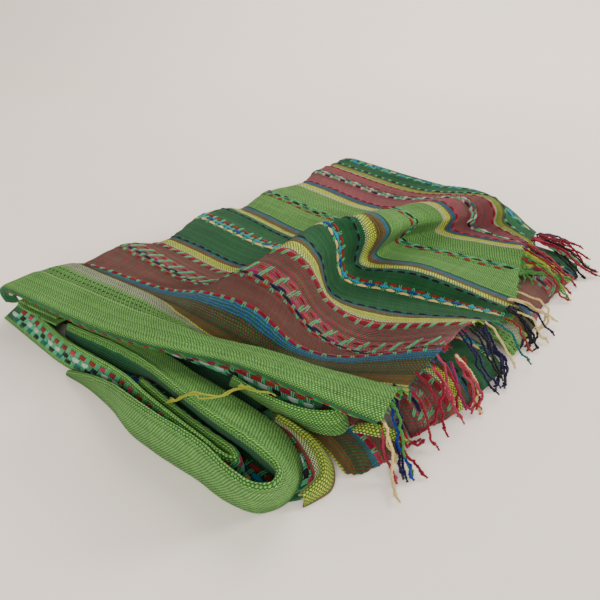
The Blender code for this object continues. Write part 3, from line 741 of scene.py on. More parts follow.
# The loops at the front are the panel's light green border. It stands on edge
# and bends round in hairpins, each a raised rim over a wall that leans out.
RIM_COLUMNS = ("rim_x", "rim_y", "rim_z", "foot_x", "foot_y", "foot_z", "drop", "lean")
BIG_LOOP_ROWS = (
    (-42, -178.5,  4.5,  -44, -179.5,  1.0,  2, 0),
    (-18, -175.5, 12.0,  -20, -176.5,  0.8,  7, 0),
    ( 10, -175.0, 20.0,   10, -177.0,  0.8, 12, 0),
    ( 34, -177.5, 26.5,   34, -180.5,  0.8, 13, 0),
    ( 60, -176.5, 28.0,   60, -179.5,  0.8, 13, 0),
    ( 92, -173.5, 28.5,   92, -175.5,  0.8, 13, 0),
    (120, -175.0, 28.5,  118, -173.5,  0.8,  6, 0),
    (136, -173.0, 28.5,  133, -167.0,  0.8,  3, 0),
    (142, -165.5, 28.0,  138, -154.0,  0.8,  3, 0),
    (138, -157.0, 28.0,  136, -141.0,  1.5,  5, 0),
    (125, -153.5, 28.0,  127, -131.0,  6.0,  8, 0),
    (109, -153.0, 28.0,  112, -126.0, 12.0,  7, 0),
    ( 88, -154.0, 28.0,   90, -126.5, 15.5,  7, 0),
    ( 62, -153.5, 27.0,   62, -129.0, 17.5,  6, 0),
    ( 36, -151.5, 25.5,   36, -131.0, 18.0,  6, 0),
    ( 12, -149.0, 23.0,   12, -133.0, 20.0,  8, 1),
    (-10, -148.5, 20.8,  -10, -137.0, 22.0, 10, 6),
    (-34, -151.0, 19.6,  -34, -141.5, 22.0, 10, 6),
    (-56, -155.5, 18.8,  -56, -146.0, 21.8,  9, 4),
    (-74, -158.5, 18.0,  -74, -149.0, 21.2,  7, 2),
)
INNER_FOLD_ROWS = (
    (-134, -167.0, 14.0, -143, -177.5,  0.8,  4, 5),
    (-112, -165.5, 14.5, -112, -177.0,  0.8,  4, 8),
    ( -84, -167.5, 15.0,  -84, -176.5,  0.8,  5, 2),
    ( -56, -168.5, 16.5,  -56, -175.5,  1.0,  6, 0),
    ( -24, -166.5, 18.5,  -24, -171.5,  2.0,  9, 0),
    (   4, -164.5, 20.0,    4, -169.3,  4.0, 10, 0),
    (  34, -167.0, 22.0,   34, -171.0,  5.0, 11, 0),
    (  66, -168.0, 23.5,   66, -171.0,  6.0, 11, 0),
    (  90, -167.6, 23.5,   91, -169.4,  7.0,  6, 0),
    ( 106, -167.2, 23.0,  110, -168.6,  8.0,  3, 0),
    ( 112, -164.0, 22.5,  117, -163.5,  9.0,  2, 0),
    ( 106, -160.6, 22.0,  108, -159.2, 10.0,  3, 0),
    (  80, -160.4, 20.5,   80, -158.6, 11.0,  5, 0),
    (  46, -159.6, 18.5,   46, -157.6, 10.0,  6, 0),
    (  14, -157.0, 16.0,   14, -155.0, 10.0,  5, 0),
)
SECOND_LOOP_ROWS = (
    ( 58, -119.0, 21.5,   57, -122.0, 15.0,  3, 0),
    ( 72, -120.5, 23.0,   71, -122.5, 18.0,  5, 0),
    ( 88, -119.5, 24.0,   88, -120.2, 16.0,  7, 0),
    (104, -117.0, 24.5,  106, -116.5, 13.0,  8, 0),
    (117, -111.5, 24.5,  123, -111.5, 11.2,  9, 0),
    (125, -103.5, 24.0,  131.5, -103.5, 10.6,  9, 0),
    (124,  -96.5, 23.0,  131,  -95.5, 11.5,  8, 0),
    (115,  -92.5, 22.0,  120,  -90.0, 13.0,  7, 0),
    (100,  -92.5, 21.5,  102,  -89.0, 13.0,  7, 0),
    ( 82,  -95.0, 21.0,   83,  -91.0, 13.0,  7, 0),
)
LIME_FOLD_ROWS = (
    (144, -147.0,  6.5,  146.5, -149.5,  0.9,  3, 2),
    (144.5, -140.0,  8.0, 148.5, -141.5,  0.9,  4, 3),
    (144.5, -132.0, 10.5, 149, -130.0,  0.9,  6, 4),
    (138, -126.0, 13.5,  142.5, -121.5,  4.5,  7, 4),
    (126, -122.4, 16.5,  128.5, -117.6,  9.0,  7, 3),
    (112, -122.0, 18.0,  113, -118.6, 10.6,  4, 0),
    (100, -122.4, 17.5,  101, -119.8, 11.0,  4, 0),
)
HAIRPIN_COLUMNS = ("node", "rows", "v_foot", "v_rim", "v_inner", "slot")
HAIRPINS = (
    ("big_loop", BIG_LOOP_ROWS, -44.0, -15.5, -4.0, "light_green_cloth"),
    ("inner_fold", INNER_FOLD_ROWS, -14.0, 3.0, 12.0, "light_green_cloth"),
    ("second_loop", SECOND_LOOP_ROWS, -44.0, -30.0, -18.0, "light_green_cloth"),
    ("lime_fold", LIME_FOLD_ROWS, 424.0, 414.5, 404.0, "lime_cloth"),
)


def hairpin_lines(rows):
    """The lines of a hairpin along its path: foot, belly, shoulders, rim and inner face."""
    sections = named(RIM_COLUMNS, rows)
    rims = [Vector((s["rim_x"], s["rim_y"], s["rim_z"])) for s in sections]
    lines = [[] for _ in range(6)]
    for i, section in enumerate(sections):
        run = rims[min(i + 1, len(rims) - 1)] - rims[max(i - 1, 0)]
        inward = Vector((-run.y, run.x, 0)).normalized()
        rim = rims[i]
        foot = Vector((section["foot_x"], section["foot_y"], section["foot_z"]))
        high = section["rim_z"] - section["foot_z"]
        shoulder = rim - inward * 1.3 - Vector((0, 0, 1.3))
        depth = 1.4 + section["drop"]
        follow = max(0.0, (foot - rim).dot(inward)) * min(depth / max(high, 1.0), 1.0)
        lines[0].append(foot)
        lines[1].append(foot.lerp(shoulder, 0.52) - inward * min(0.8, high * 0.03))
        lines[2].append(shoulder)
        lines[3].append(rim)
        lines[4].append(rim + inward * 1.4 - Vector((0, 0, 1.4)))
        lines[5].append(rim + inward * (1.8 + section["lean"] + follow) - Vector((0, 0, depth)))
    return lines


PATH_STEPS = 9
RIM_STEPS = (8, 7, 2, 2, 6)      # from the foot over the rim to the inner face
loop_cloths = {}
for pin in named(HAIRPIN_COLUMNS, HAIRPINS):
    foot, rim = pin["v_foot"], pin["v_rim"]
    turn = 1 if rim > foot else -1
    places = (foot, (foot + rim) / 2, rim - 1.6 * turn, rim, rim + 1.8 * turn, pin["v_inner"])
    loop = Cloth(hairpin_lines(pin["rows"]), places, [PATH_STEPS] * (len(pin["rows"]) - 1),
                 RIM_STEPS)
    loop.move(lambda p, u, v: slack(u, v, 3.0, 0.6))
    loop_cloths[pin["node"]] = loop
    loop.make(pin["node"] + "_cloth", pin["slot"], pin["node"])

LOOP_FLOATS = (
    ( -1.4, ("red_brown", "red_brown", "pink"), 8.2, 2.8, 2, 11.0, 0.00, 3, 3.2, "mint"),
    ( -4.9, ("white", "black", "white"),        8.8, 3.0, 2, 11.0, 0.50, 3, 3.4, "mint"),
    ( -8.4, ("black", "teal"),                  8.4, 2.8, 2, 11.0, 0.00, 3, 3.2, "mint"),
)
LOOP_FLOAT_COLOURS = ("red_brown", "pink", "white", "black", "teal", "mint")
loop_float_rows = named(FLOAT_COLUMNS, LOOP_FLOATS)
inner_floats = weave_floats("inner_fold_floats", LOOP_FLOAT_COLOURS, loop_cloths["inner_fold"],
                            loop_float_rows, 2.0, "light_green_cloth")
# Under the lime stripe the same length folds once more, down by the loop's foot.
LINING_ROWS = (
    ((84, -129.5, 9.5), (98, -129.5, 8.0), (112, -132.0, 5.5),
     (124, -136.0, 2.6), (134, -143.0, 1.5), (138, -153, 1.2)),
    ((86, -123.5, 10.8), (100, -125.0, 10.0), (113, -127.0, 7.6),
     (127, -130.0, 4.2), (136, -136.5, 2.4), (140.5, -150, 1.6)),
    ((88, -117.0, 11.2), (101, -120.6, 11.6), (113, -122.6, 10.2),
     (128, -124.6, 6.0), (138, -131.0, 3.0), (143, -147, 2.2)),
)
lining = Cloth(LINING_ROWS, (-11.5, -5.0, 0.5), (9, 9, 9, 8, 7), (8, 8))
lining.move(lambda p, u, v: slack(u, v, 15.0, 0.5))
lining_piece = lining.make("lime_lining_cloth", "lime_cloth")
lining_floats = weave_floats("lime_lining_floats", LOOP_FLOAT_COLOURS, lining, loop_float_rows,
                             1.0, "lime_cloth")
lining.cut()
# The border's ladder shows inside the pocket under the near edge.
POCKET_BACK_ROWS = (
    ((-22, -141, 24.2), (10, -129, 18.0), (38, -118, 15.0),
     (66, -111, 13.0), (92, -108, 13.0), (114, -102, 14.0)),
    ((-24, -144, 24.4), (10, -131, 21.5), (38, -120, 20.5),
     (66, -112, 19.5), (92, -108, 19.5), (116, -102, 20.0)),
    ((-24, -146, 24.6), (10, -135, 25.0), (38, -123, 25.2),
     (66, -111, 25.4), (92, -106, 25.6), (118, -101, 25.8)),
)
pocket_back = Cloth(POCKET_BACK_ROWS, (-12.0, -6.0, -0.5), (7, 8, 8, 8, 8), (8, 8))
pocket_back.move(lambda p, u, v: slack(u, v, 11.0, 1.0))
pocket_back_piece = pocket_back.make("pocket_back_cloth", "light_green_cloth")
POCKET_FLOATS = (
    ( -3.6, ("red_brown", "red_brown", "crimson"), 8.0, 2.6, 2, 11.0, 0.00, 2, 2.2, "mint"),
    ( -6.8, ("white", "black", "white"), 8.6, 3.0, 2, 11.0, 0.50, 3, 3.0, "mint"),
    ( -9.8, ("mint", "black", "teal"),   8.0, 2.4, 2, 11.0, 0.10, 3, 2.2, "mint"),
)
POCKET_FLOAT_COLOURS = ("red_brown", "crimson", "white", "black", "teal", "mint")
pocket_floats = weave_floats("pocket_back_floats", POCKET_FLOAT_COLOURS, pocket_back,
                             named(FLOAT_COLUMNS, POCKET_FLOATS), 1.0, "light_green_cloth")
pocket_back.cut()
loop_cloths["big_loop"].cut()
loop_cloths["inner_fold"].cut()
loop_cloths["second_loop"].cut()
loop_cloths["lime_fold"].cut()


# At the left end the border turns back under itself and leaves a pocket. A
# lower length shows inside the front hairpin, and more of them at the right,
# past the fringed end of the top one.
LEFT_POCKET_ROWS = (
    ((-80, -164, 22.6), (-106, -169, 22.6), (-121, -171, 22.0), (-125, -171, 19.7),
     (-121, -171, 17.4), (-106, -169, 17.0), (-80, -165, 17.0)),
    ((-80, -157, 22.6), (-106, -159, 22.6), (-121, -160, 22.0), (-125, -160, 19.6),
     (-121, -160, 17.2), (-106, -159, 16.8), (-82, -157, 16.8)),
    ((-82, -146, 22.6), (-106, -146, 22.6), (-119, -146, 22.0), (-123, -146, 19.6),
     (-119, -146, 17.2), (-106, -146, 16.6), (-84, -146, 16.6)),
)
POCKET_FLOOR_ROWS = (
    ((-60, -168.0, 4.6), (-10, -166.0, 5.8), (40, -166.4, 6.8), (92, -165.4, 7.4),
     (124, -165.0, 7.8)),
    ((-60, -161.0, 5.6), (-10, -159.0, 7.2), (40, -158.6, 8.5), (94, -159.0, 8.4),
     (131, -160.0, 7.9)),
    ((-60, -151.0, 5.8), (-10, -148.0, 7.4), (40, -151.0, 8.6), (92, -152.5, 8.8),
     (132, -151.0, 8.6)),
    ((-60, -142.8, 5.8), (-14, -138.0, 7.0), (30, -143.4, 8.0), (88, -146.4, 8.4),
     (127, -142.0, 8.2)),
)
LOWER_SHEET_ROWS = (
    (( 90, -117.0,  8.6), (104, -115.6,  8.0), (120, -114.2,  7.2), (134, -115, 5.0),
     (146, -117, 1.2)),
    (( 84, -110,  9.0), (104, -108,  9.2), (125, -108,  8.6), (142, -111, 5.5), (152, -114, 1.2)),
    (( 80, -102,  9.4), (104, -101,  9.4), (130, -100,  9.2), (147, -103, 6.0), (155, -106, 1.2)),
    (( 80,  -94,  9.0), (108,  -93,  9.2), (134,  -93,  9.0), (149,  -95, 5.6), (157,  -97, 1.2)),
    (( 82,  -85,  9.4), (110,  -84,  9.4), (136,  -84,  8.6), (151,  -86, 6.0), (159,  -88, 1.0)),
    (( 84,  -76,  9.0), (112,  -76,  9.0), (137,  -77,  8.0), (152,  -78, 5.5), (159,  -79, 1.0)),
)
FRINGE_LAYER_ROWS = (
    (( 96, -70, 11.4), (126, -70, 14.0), (142, -69, 15.0), (153, -70, 9.0), (158, -71, 3.0)),
    (( 88, -56, 11.2), (128, -55, 18.0), (146, -55, 16.5), (156, -57, 9.5), (161, -58, 3.0)),
    (( 84, -40, 11.0), (130, -39, 18.5), (149, -39, 16.0), (159, -41, 9.0), (164, -42, 3.0)),
    (( 84, -22, 11.0), (131, -21, 19.5), (150, -21, 17.0), (161, -23, 9.5), (166, -24, 3.0)),
    (( 84,  -4, 11.0), (133,  -2, 17.5), (152,  -3, 14.5), (162,  -5, 8.5), (166,  -5, 3.0)),
    (( 84,  14, 11.0), (136,  16, 15.0), (151,  16, 12.5), (160,  15, 7.5), (165,  15, 3.0)),
    (( 86,  28, 11.0), (136,  30, 12.0), (150,  30, 10.0), (158,  29, 6.0), (162,  29, 2.5)),
)
CORNER_LAYER_ROWS = (
    (( 84,  42, 11.0), (132,  43, 11.0), (150,  44,  9.5), (158,  45, 5.5), (161,  46, 2.0)),
    (( 82,  62, 11.0), (130,  62, 10.6), (148,  63,  9.0), (156,  64, 5.5), (159,  65, 2.0)),
    (( 78,  86, 11.2), (126,  86, 11.0), (143,  87,  9.5), (151,  88, 5.0), (155,  89, 2.0)),
    (( 76, 112, 11.4), (122, 112, 13.5), (137, 113, 12.0), (144, 114, 6.0), (148, 115, 2.0)),
    (( 72, 136, 11.2), (116, 136, 13.0), (132, 137, 11.0), (141, 138, 6.0), (146, 139, 2.0)),
    (( 68, 160, 11.2), (110, 160, 14.5), (128, 160, 12.5), (140, 161, 6.5), (145, 162, 2.0)),
    (( 62, 184, 11.2), (103, 184, 12.0), (123, 185, 10.0), (138, 187, 5.0), (144, 188, 2.0)),
    (( 58, 206, 10.8), ( 96, 207,  8.6), (116, 208,  8.0), (131, 208, 4.5), (138, 208, 2.0)),
)
CRUMPLED_END_ROWS = (
    ((135,  -97, 10.3), (141,  -95, 11.4), (148,  -91, 11.2), (154,  -86,  9.8), (159, -82,  7.0)),
    ((135,  -92, 12.5), (142,  -90, 16.0), (149,  -86, 15.6), (155,  -82, 12.6), (160, -80,  8.4)),
    ((136,  -88, 10.6), (143,  -85, 11.4), (150,  -81, 11.4), (156,  -79,  9.8), (161, -78,  7.2)),
)
LAYER_COLUMNS = ("node", "rows", "v_from", "v_to", "slot", "rests_on", "floats_from", "floats_to")
LAYERS = (
    ("left_pocket", LEFT_POCKET_ROWS, -16.0, -44.0, "light_green_cloth", "inner_fold", 0, 0),
    ("pocket_floor", POCKET_FLOOR_ROWS, 194.0, 226.0, "striped_cloth", "hidden_layers", 200, 216),
    ("lower_sheet", LOWER_SHEET_ROWS, 57.0, 104.0, "striped_cloth", "hidden_layers", 80, 90),
    ("fringe_layer", FRINGE_LAYER_ROWS, 108.0, 214.0, "striped_cloth", "hidden_layers", 110, 212),
    ("corner_layer", CORNER_LAYER_ROWS, 25.0, 189.0, "dark_cloth", "hidden_layers", 60, 186),
    ("crumpled_end", CRUMPLED_END_ROWS, 411.0, 420.0, "lime_cloth", "lower_sheet", 0, 0),
)
LAYER_STEPS = 9
LAYER_START = 100.0       # how far along the stripes these lengths begin
for layer in named(LAYER_COLUMNS, LAYERS):
    node = layer["node"]
    rows = layer["rows"]
    last = len(rows) - 1
    v_from = layer["v_from"]
    v_span = layer["v_to"] - v_from
    cloth = Cloth(rows, [v_from + v_span * i / last for i in range(len(rows))],
                  [LAYER_STEPS] * (len(rows[0]) - 1), [LAYER_STEPS] * last, LAYER_START)
    cloth.move(lambda p, u, v: slack(u, v, 7.0, 0.8))
    if node not in ("left_pocket", "pocket_floor"):
        cloth.fray_end(1.4, 4)
    piece = cloth.make(node + "_cloth", layer["slot"], node)
    float_rows = [row for row in top_float_rows
                  if layer["floats_from"] < row["v"] < layer["floats_to"]]
    colours = {name for row in float_rows for name in (*row["colours"], row["tick_colour"])}
    floats = weave_floats(node + "_floats", sorted(colours), cloth, float_rows,
                          LAYER_START + 1.0, layer["slot"])
    cloth.cut()


# The hidden lengths of the panel lie under the top one, folded to and fro.
# Only their fold edges show, at the left, the back and under the front.
CORE_CORNERS = (          # the outline as x and y, front left first
    (-132, -150), (-60, -139), (-16, -134), (20, -139), (56, -143), (82, -143),
    (87, -132), (80, -114), (75, -92), (84, -68), (104, -60),
    (106, 20), (98, 60), (92, 110), (84, 160), (74, 205), (50, 228),
    (-40, 237), (-136, 235), (-139, 120), (-136, 0),
)
CORNER_STEPS = 14
CORE_HIGH = 23.8
CORE_LOW = 9.8
CORE_STEP = (-28.0, 0.0)  # where the top steps down from high to low
CORE_FOLDS = 5
CORE_MIDDLE = Vector((-20, 60, 0))
LEFT_SETBACK = 26.0       # how far in the upper folds lie at the left end
SETBACK = 8.0             # and elsewhere
# One fold edge from below: its share of a fold's height, and how far it is set in.
FOLD_SECTION = ((0.02, 3.0), (0.10, 1.5), (0.28, 0.5), (0.5, 0.1),
                (0.72, 0.5), (0.90, 1.5), (0.98, 3.0))


def core_top(x):
    share = min(max((x - CORE_STEP[0]) / (CORE_STEP[1] - CORE_STEP[0]), 0.0), 1.0)
    return CORE_HIGH + (CORE_LOW - CORE_HIGH) * share * share * (3 - 2 * share)


def core_piece():
    ring = [Vector((x, y, 0)) for x, y in CORE_CORNERS]
    closed = ring[-2:] + ring + ring[:3]
    outline = spline(closed, [CORNER_STEPS] * (len(closed) - 1))
    outline = outline[2 * CORNER_STEPS:(2 + len(ring)) * CORNER_STEPS]
    levels = [((fold + share) / CORE_FOLDS, inset, fold)
              for fold in range(CORE_FOLDS) for share, inset in FOLD_SECTION]
    shape = bmesh.new()
    bands = []
    for level, inset, fold in levels:
        band = []
        for point in outline:
            reach = point - CORE_MIDDLE
            wave = 1.5 * noise.noise(Vector((point.x / 26.0, point.y / 26.0, fold * 3.0)))
            setback = 0.0
            if level > 0.5:
                setback = LEFT_SETBACK if point.x < -100 else SETBACK
            place = CORE_MIDDLE + reach * (1 - (inset + setback + 1.0 + wave) / reach.length)
            height = max(level * core_top(place.x), 0.25)
            band.append(shape.verts.new(Vector((place.x, place.y, height)) * MM))
        bands.append(band)
    last = [vert.co / MM for vert in bands[-1]]
    for share in (0.9, 0.75, 0.6, 0.45, 0.3, 0.15):
        band = []
        for point in last:
            place = CORE_MIDDLE + (point - CORE_MIDDLE) * share
            band.append(shape.verts.new(Vector((place.x, place.y, core_top(place.x) - 0.2)) * MM))
        bands.append(band)
    for low, high in zip(bands, bands[1:]):
        for i in range(len(low)):
            j = (i + 1) % len(low)
            shape.faces.new((low[i], low[j], high[j], high[i]))
    shape.faces.new(list(reversed(bands[0])))
    shape.faces.new(bands[-1])
    panel = shape.loops.layers.uv.new("panel")
    for face in shape.faces:
        for loop in face.loops:
            x, y, z = loop.vert.co
            loop[panel].uv = (x + z * 2.0, y + 0.326 + z * 0.7)
    mesh = bpy.data.meshes.new("hidden_layers_cloth")
    shape.to_mesh(mesh)
    shape.free()
    mesh.materials.append(STRIPED_FINISH)
    mesh.shade_smooth()
    piece = bpy.data.objects.new("hidden_layers_cloth", mesh)
    bpy.context.scene.collection.objects.link(piece)
    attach(piece, "root")
    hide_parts("hidden_layers")


core_piece()


# The fringe is the warp itself, left long at the end of the panel and knotted
# in small groups. Its strands are two-ply, in the colours of their stripes.
STRAND_COLUMNS = ("colour", "count", "spread", "points")
STRANDS = (
    ("navy", 2, 1.0, ((141, -69, 32), (153, -78, 22), (156, -80, 14), (163, -88, 5),
                      (174, -99, 2))),
    ("crimson", 1, 1.0, ((144, -70, 30), (159, -82, 10), (170, -87, 4), (182, -89, 2))),
    ("blue", 1, 1.0, ((143, -73, 30), (158, -84, 10), (168, -89, 4), (178, -95, 2))),
    ("cream", 1, 1.2, ((148, -85, 18), (154, -88, 8), (162, -91, 3), (169, -94, 2))),
    ("pink", 1, 1.2, ((148, -87, 16), (156, -93, 4), (164, -98, 2), (173, -103, 2))),
    ("crimson", 2, 1.0, ((145, -71, 30), (156, -77, 12), (162, -78, 5), (164, -67, 3))),
    ("crimson", 1, 1.2, ((146, -55, 36), (155, -53, 30), (162, -52, 16), (163, -59, 8),
                         (160, -74, 6))),
    ("crimson", 1, 1.3, ((153, -35, 36), (161, -34, 26), (164, -34, 14), (168, -38, 4))),
    ("magenta", 1, 1.2, ((155, -31, 35), (163, -31, 22), (165, -29, 12), (170, -27, 3))),
    ("pink", 1, 1.2, ((152, -47, 38), (157, -43, 32), (160, -40, 22), (166, -40, 8))),
    ("crimson", 1, 1.4, ((151, -44, 38), (160, -46, 26), (164, -50, 12), (172, -54, 3))),
    ("cream", 1, 1.0, ((153, -22, 34), (158, -18, 26), (165, -12, 14), (168, -15, 8),
                       (172, -19, 4), (176, -23, 2))),
    ("pink", 2, 1.2, ((152, -20, 33), (160, -19, 24), (167, -15, 12), (170, -18, 5),
                      (174, -26, 2))),
    ("red_brown", 2, 1.3, ((152, -10, 26), (162, -14, 14), (168, -17, 6), (171, -25, 3))),
    ("navy", 2, 1.2, ((144, 24, 28), (150, 27, 18), (160, 28, 10), (168, 20, 5), (173, 7, 2))),
    ("navy", 2, 1.2, ((145, 28, 28), (153, 29, 16), (164, 27, 8), (169, 18, 4), (170, 8, 2))),
    ("black", 3, 1.2, ((139, 74, 20), (144, 80, 16), (158, 77, 8), (163, 68, 4), (165, 58, 2))),
    ("black", 2, 1.2, ((141, 72, 20), (148, 78, 13), (160, 75, 6), (164, 63, 2))),
    ("cream", 2, 1.0, ((134, 85, 20), (141, 91, 18), (150, 98, 12), (158, 104, 8),
                       (160, 99, 5), (160, 87, 3))),
    ("crimson", 3, 1.4, ((97, 210, 20), (106, 216, 17), (112, 224, 12), (118, 233, 8),
                         (124, 236, 4))),
    ("crimson", 3, 1.3, ((99, 201, 20), (110, 202, 17), (120, 213, 12), (130, 219, 7),
                         (136, 223, 3))),
    ("navy", 2, 1.2, ((97, 207, 20), (106, 223, 16), (114, 233, 10), (120, 240, 5))),
    ("pink", 2, 1.4, ((99, 196, 21), (112, 198, 18), (122, 206, 12), (132, 212, 6))),
    ("black", 2, 1.3, ((99, 208, 18), (114, 210, 12), (130, 201, 7), (146, 192, 3), (150, 188, 2))),
    ("mint", 2, 1.3, ((112, 203, 14), (124, 207, 10), (134, 210, 6), (144, 214, 2))),
    ("green", 3, 1.4, ((116, 125, 20), (124, 138, 18), (128, 150, 14), (136, 163, 9),
                       (142, 170, 6))),
    ("olive", 3, 1.4, ((114, 135, 22), (120, 145, 20), (126, 160, 16), (128, 172, 12))),
    ("green", 2, 1.6, ((112, 150, 22), (118, 142, 21), (124, 134, 16), (132, 128, 10),
                       (138, 120, 6))),
    ("olive", 2, 1.5, ((108, 166, 24), (114, 160, 22), (121, 166, 17), (127, 176, 12),
                       (130, 184, 8))),
)
# Between those, strands stand in a row along each node's part of the hem. gaps
# leaves out more of them as it grows from -1 to 1.
FRINGE_COLUMNS = ("y_from", "y_to", "strands", "brow_x", "brow_z", "floor_x", "tip_x",
                  "shift", "spread", "gaps", "colours")
FRINGE_ROWS = (
    (-99, -74,  6, 163, 18.0, 167, 176, -10, 1.30, 0.35, ("cream", "green", "pink")),
    (-64, -16, 12, 163, 18.0, 171, 179,  -6, 1.00, 0.62,
     ("crimson", "crimson", "pink", "navy", "magenta")),
    ( -4,  62, 13, 161, 15.5, 171, 177,  -3, 0.95, 0.15,
     ("navy", "black", "cream", "teal", "red_brown")),
    ( 70, 112,  8, 157, 13.5, 165, 169,   2, 1.00, 0.10, ("black", "navy", "cream")),
    (120, 160,  9, 145, 13.5, 152, 158,   2, 1.00, 0.20,
     ("green", "olive", "red_brown", "cream")),
    (168, 210, 10, 128, 16.5, 150, 157,   4, 1.00, 0.10, ("crimson", "pink", "black", "mint")),
)
BUNDLE = 3
BUNDLE_PITCH = 2.7
SIDE_BY_SIDE = 1.9
PLY_RADIUS = 0.56
PLY_PITCH = 3.4           # one turn of a two-ply strand
PLY_STEP = 1.1
UPWARD = Vector((0.1, 0.2, 0.97))


def two_ply(yarn, points, radius, seed):
    """A twisted strand through points, a little unsteady, with a small knot near its tip."""
    length = sum((b - a).length for a, b in zip(points, points[1:]))
    count = max(int(length / PLY_STEP / (len(points) - 1)), 3)
    course = spline(points, [count] * (len(points) - 1))
    middle = []
    for i, point in enumerate(course):
        way = Vector((jitter(seed + i * 0.13), jitter(seed + 30 + i * 0.15),
                      jitter(seed + 60 + i * 0.12) * 0.5))
        moved = point + way * 1.1 * min(i / 8.0, 1.0)
        moved.z = max(moved.z, radius * 2 + 0.2)
        middle.append(moved)
    turn_step = 2 * math.pi * length / PLY_PITCH / len(middle)
    for ply in (0, 1):
        path, ups, sizes = [], [], []
        for i, point in enumerate(middle):
            run = (middle[min(i + 1, len(middle) - 1)] - middle[max(i - 1, 0)]).normalized()
            side = run.cross(Vector((0.31, 0.17, 0.93))).normalized()
            up = side.cross(run)
            turn = turn_step * i + math.pi * ply
            aside = side * math.cos(turn) + up * math.sin(turn)
            path.append(point + aside * radius * 0.8)
            ups.append(up)
            loose = 1.0 if i < len(middle) - 4 else 0.7
            sizes.append((radius * loose, radius * loose))
        yarn.lay(path, sizes, ups)
    knot = middle[-5 if len(middle) > 8 else -2]
    run = (middle[-2] - middle[-4]).normalized()
    blob = [knot + run * (k - 1.5) * 0.7 for k in range(4)]
    sizes = [(radius * s, radius * s) for s in (1.0, 2.2, 2.2, 1.0)]
    yarn.lay(blob, sizes, [UPWARD] * 4)


fringe_yarns = yarn_set("fringe", ("crimson", "red_brown", "navy", "magenta", "black", "cream",
                                   "teal", "mint", "green", "olive", "pink", "blue"))
for number, strand in enumerate(named(STRAND_COLUMNS, STRANDS)):
    for k in range(strand["count"]):
        side = (k - (strand["count"] - 1) / 2) * SIDE_BY_SIDE
        points = []
        for i, (x, y, z) in enumerate(strand["points"]):
            fan = side * (1.0 + (strand["spread"] - 1.0) * i)
            lift = 0.4 * jitter(number + k + i)
            points.append(Vector((x + fan * 0.3 * i, y + fan, z + lift)))
        two_ply(fringe_yarns[strand["colour"]], points, PLY_RADIUS * 1.1, number * 7 + k * 3)
hem = [row[-1] for row in top_cloth.points][8:]
for row in named(FRINGE_COLUMNS, FRINGE_ROWS):
    middle = (row["y_from"] + row["y_to"]) / 2
    shift = row["shift"]
    pitch = (row["y_to"] - row["y_from"]) / row["strands"]
    for i in range(row["strands"]):
        y = row["y_from"] + pitch * (i + 0.5)
        bundle = i // BUNDLE
        place = i % BUNDLE - (min(BUNDLE, row["strands"] - bundle * BUNDLE) - 1) / 2
        heart = middle + (y - place * pitch - middle) * row["spread"]
        wave = math.sin(i * 2.4)
        sway = math.sin(bundle * 2.1 + row["y_from"])
        if jitter(i * 2.9 + row["y_to"]) < row["gaps"]:
            continue
        short = 0.5 + 0.5 * abs(jitter(i * 1.7 + y))
        nearest = min(hem, key=lambda p: abs(p.y - y))
        start = nearest - Vector((1.5, 0, 0))
        brow_x = row["brow_x"] + sway * 1.5 + wave * 0.5
        brow = Vector((brow_x, y + shift * 0.25, row["brow_z"] + wave))
        brow = start.lerp(brow, 0.75 + 0.25 * short)
        half = start.lerp(brow, 0.5) + Vector((1.0, 0, 2.0))
        knot_y = heart + place * BUNDLE_PITCH + shift * 0.6
        knot = Vector((row["floor_x"] + sway * 2.5, knot_y, 3.4))
        knot = brow.lerp(knot, short)
        tip_y = heart + place * (BUNDLE_PITCH + 0.7) + shift * 1.1 + sway * 0.8
        tip_x = row["tip_x"] + sway * 3 + wave * 2.5
        tip = Vector((tip_x, tip_y + 3 * jitter(i + y), 1.6))
        tip = knot.lerp(tip, short)
        colour = row["colours"][(i * 5 + bundle) % len(row["colours"])]
        two_ply(fringe_yarns[colour], (start, half, brow, knot, tip), PLY_RADIUS,
                i * 11 + row["y_from"])
# Short loose ends of warp stand out along the whole cut edge. Each colour goes up
# to a place across the panel, where the next one begins.
HEM_COLOURS = (
    (40, "green"), (56, "olive"), (75, "teal"), (84, "blue"), (149, "crimson"), (160, "olive"),
    (166, "blue"), (238, "green"), (250, "olive"), (256, "navy"), (333, "green"),
    (343, "olive"), (350, "blue"), (406, "crimson"), (424, "olive"), (500, "teal"),
)
HEM_ENDS = 150
HEM_PITCH = 2.95
HEM_RADIUS = 0.42
for i in range(HEM_ENDS):
    v = -4.0 + i * HEM_PITCH + 0.8 * jitter(i * 0.9)
    colour = next(name for limit, name in HEM_COLOURS if v < limit)
    line = top_cloth.points[top_cloth.row_at(v)]
    start = line[-2]
    way = (line[-1] - line[-3]).normalized()
    reach = 3.5 + 2.5 * abs(jitter(i * 1.9))
    bend = Vector((0, jitter(i * 2.3) * 1.6, -1.2 - abs(jitter(i)) * 1.6))
    half = start + way * reach * 0.5 + bend * 0.2
    path = spline((start, half, start + way * reach + bend), (3, 3))
    for point in path:
        point.z = max(point.z, 0.8)
    fringe_yarns[colour].lay(path, [(HEM_RADIUS, HEM_RADIUS)] * len(path), [UPWARD] * len(path))
fringe_pieces = [yarn.make("fringe_yarn") for yarn in fringe_yarns.values()]
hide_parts("fringe_band", "fringe_mauve1", "fringe_green1", "fringe_crease",
            "fringe_light2", "fringe_mauve2")


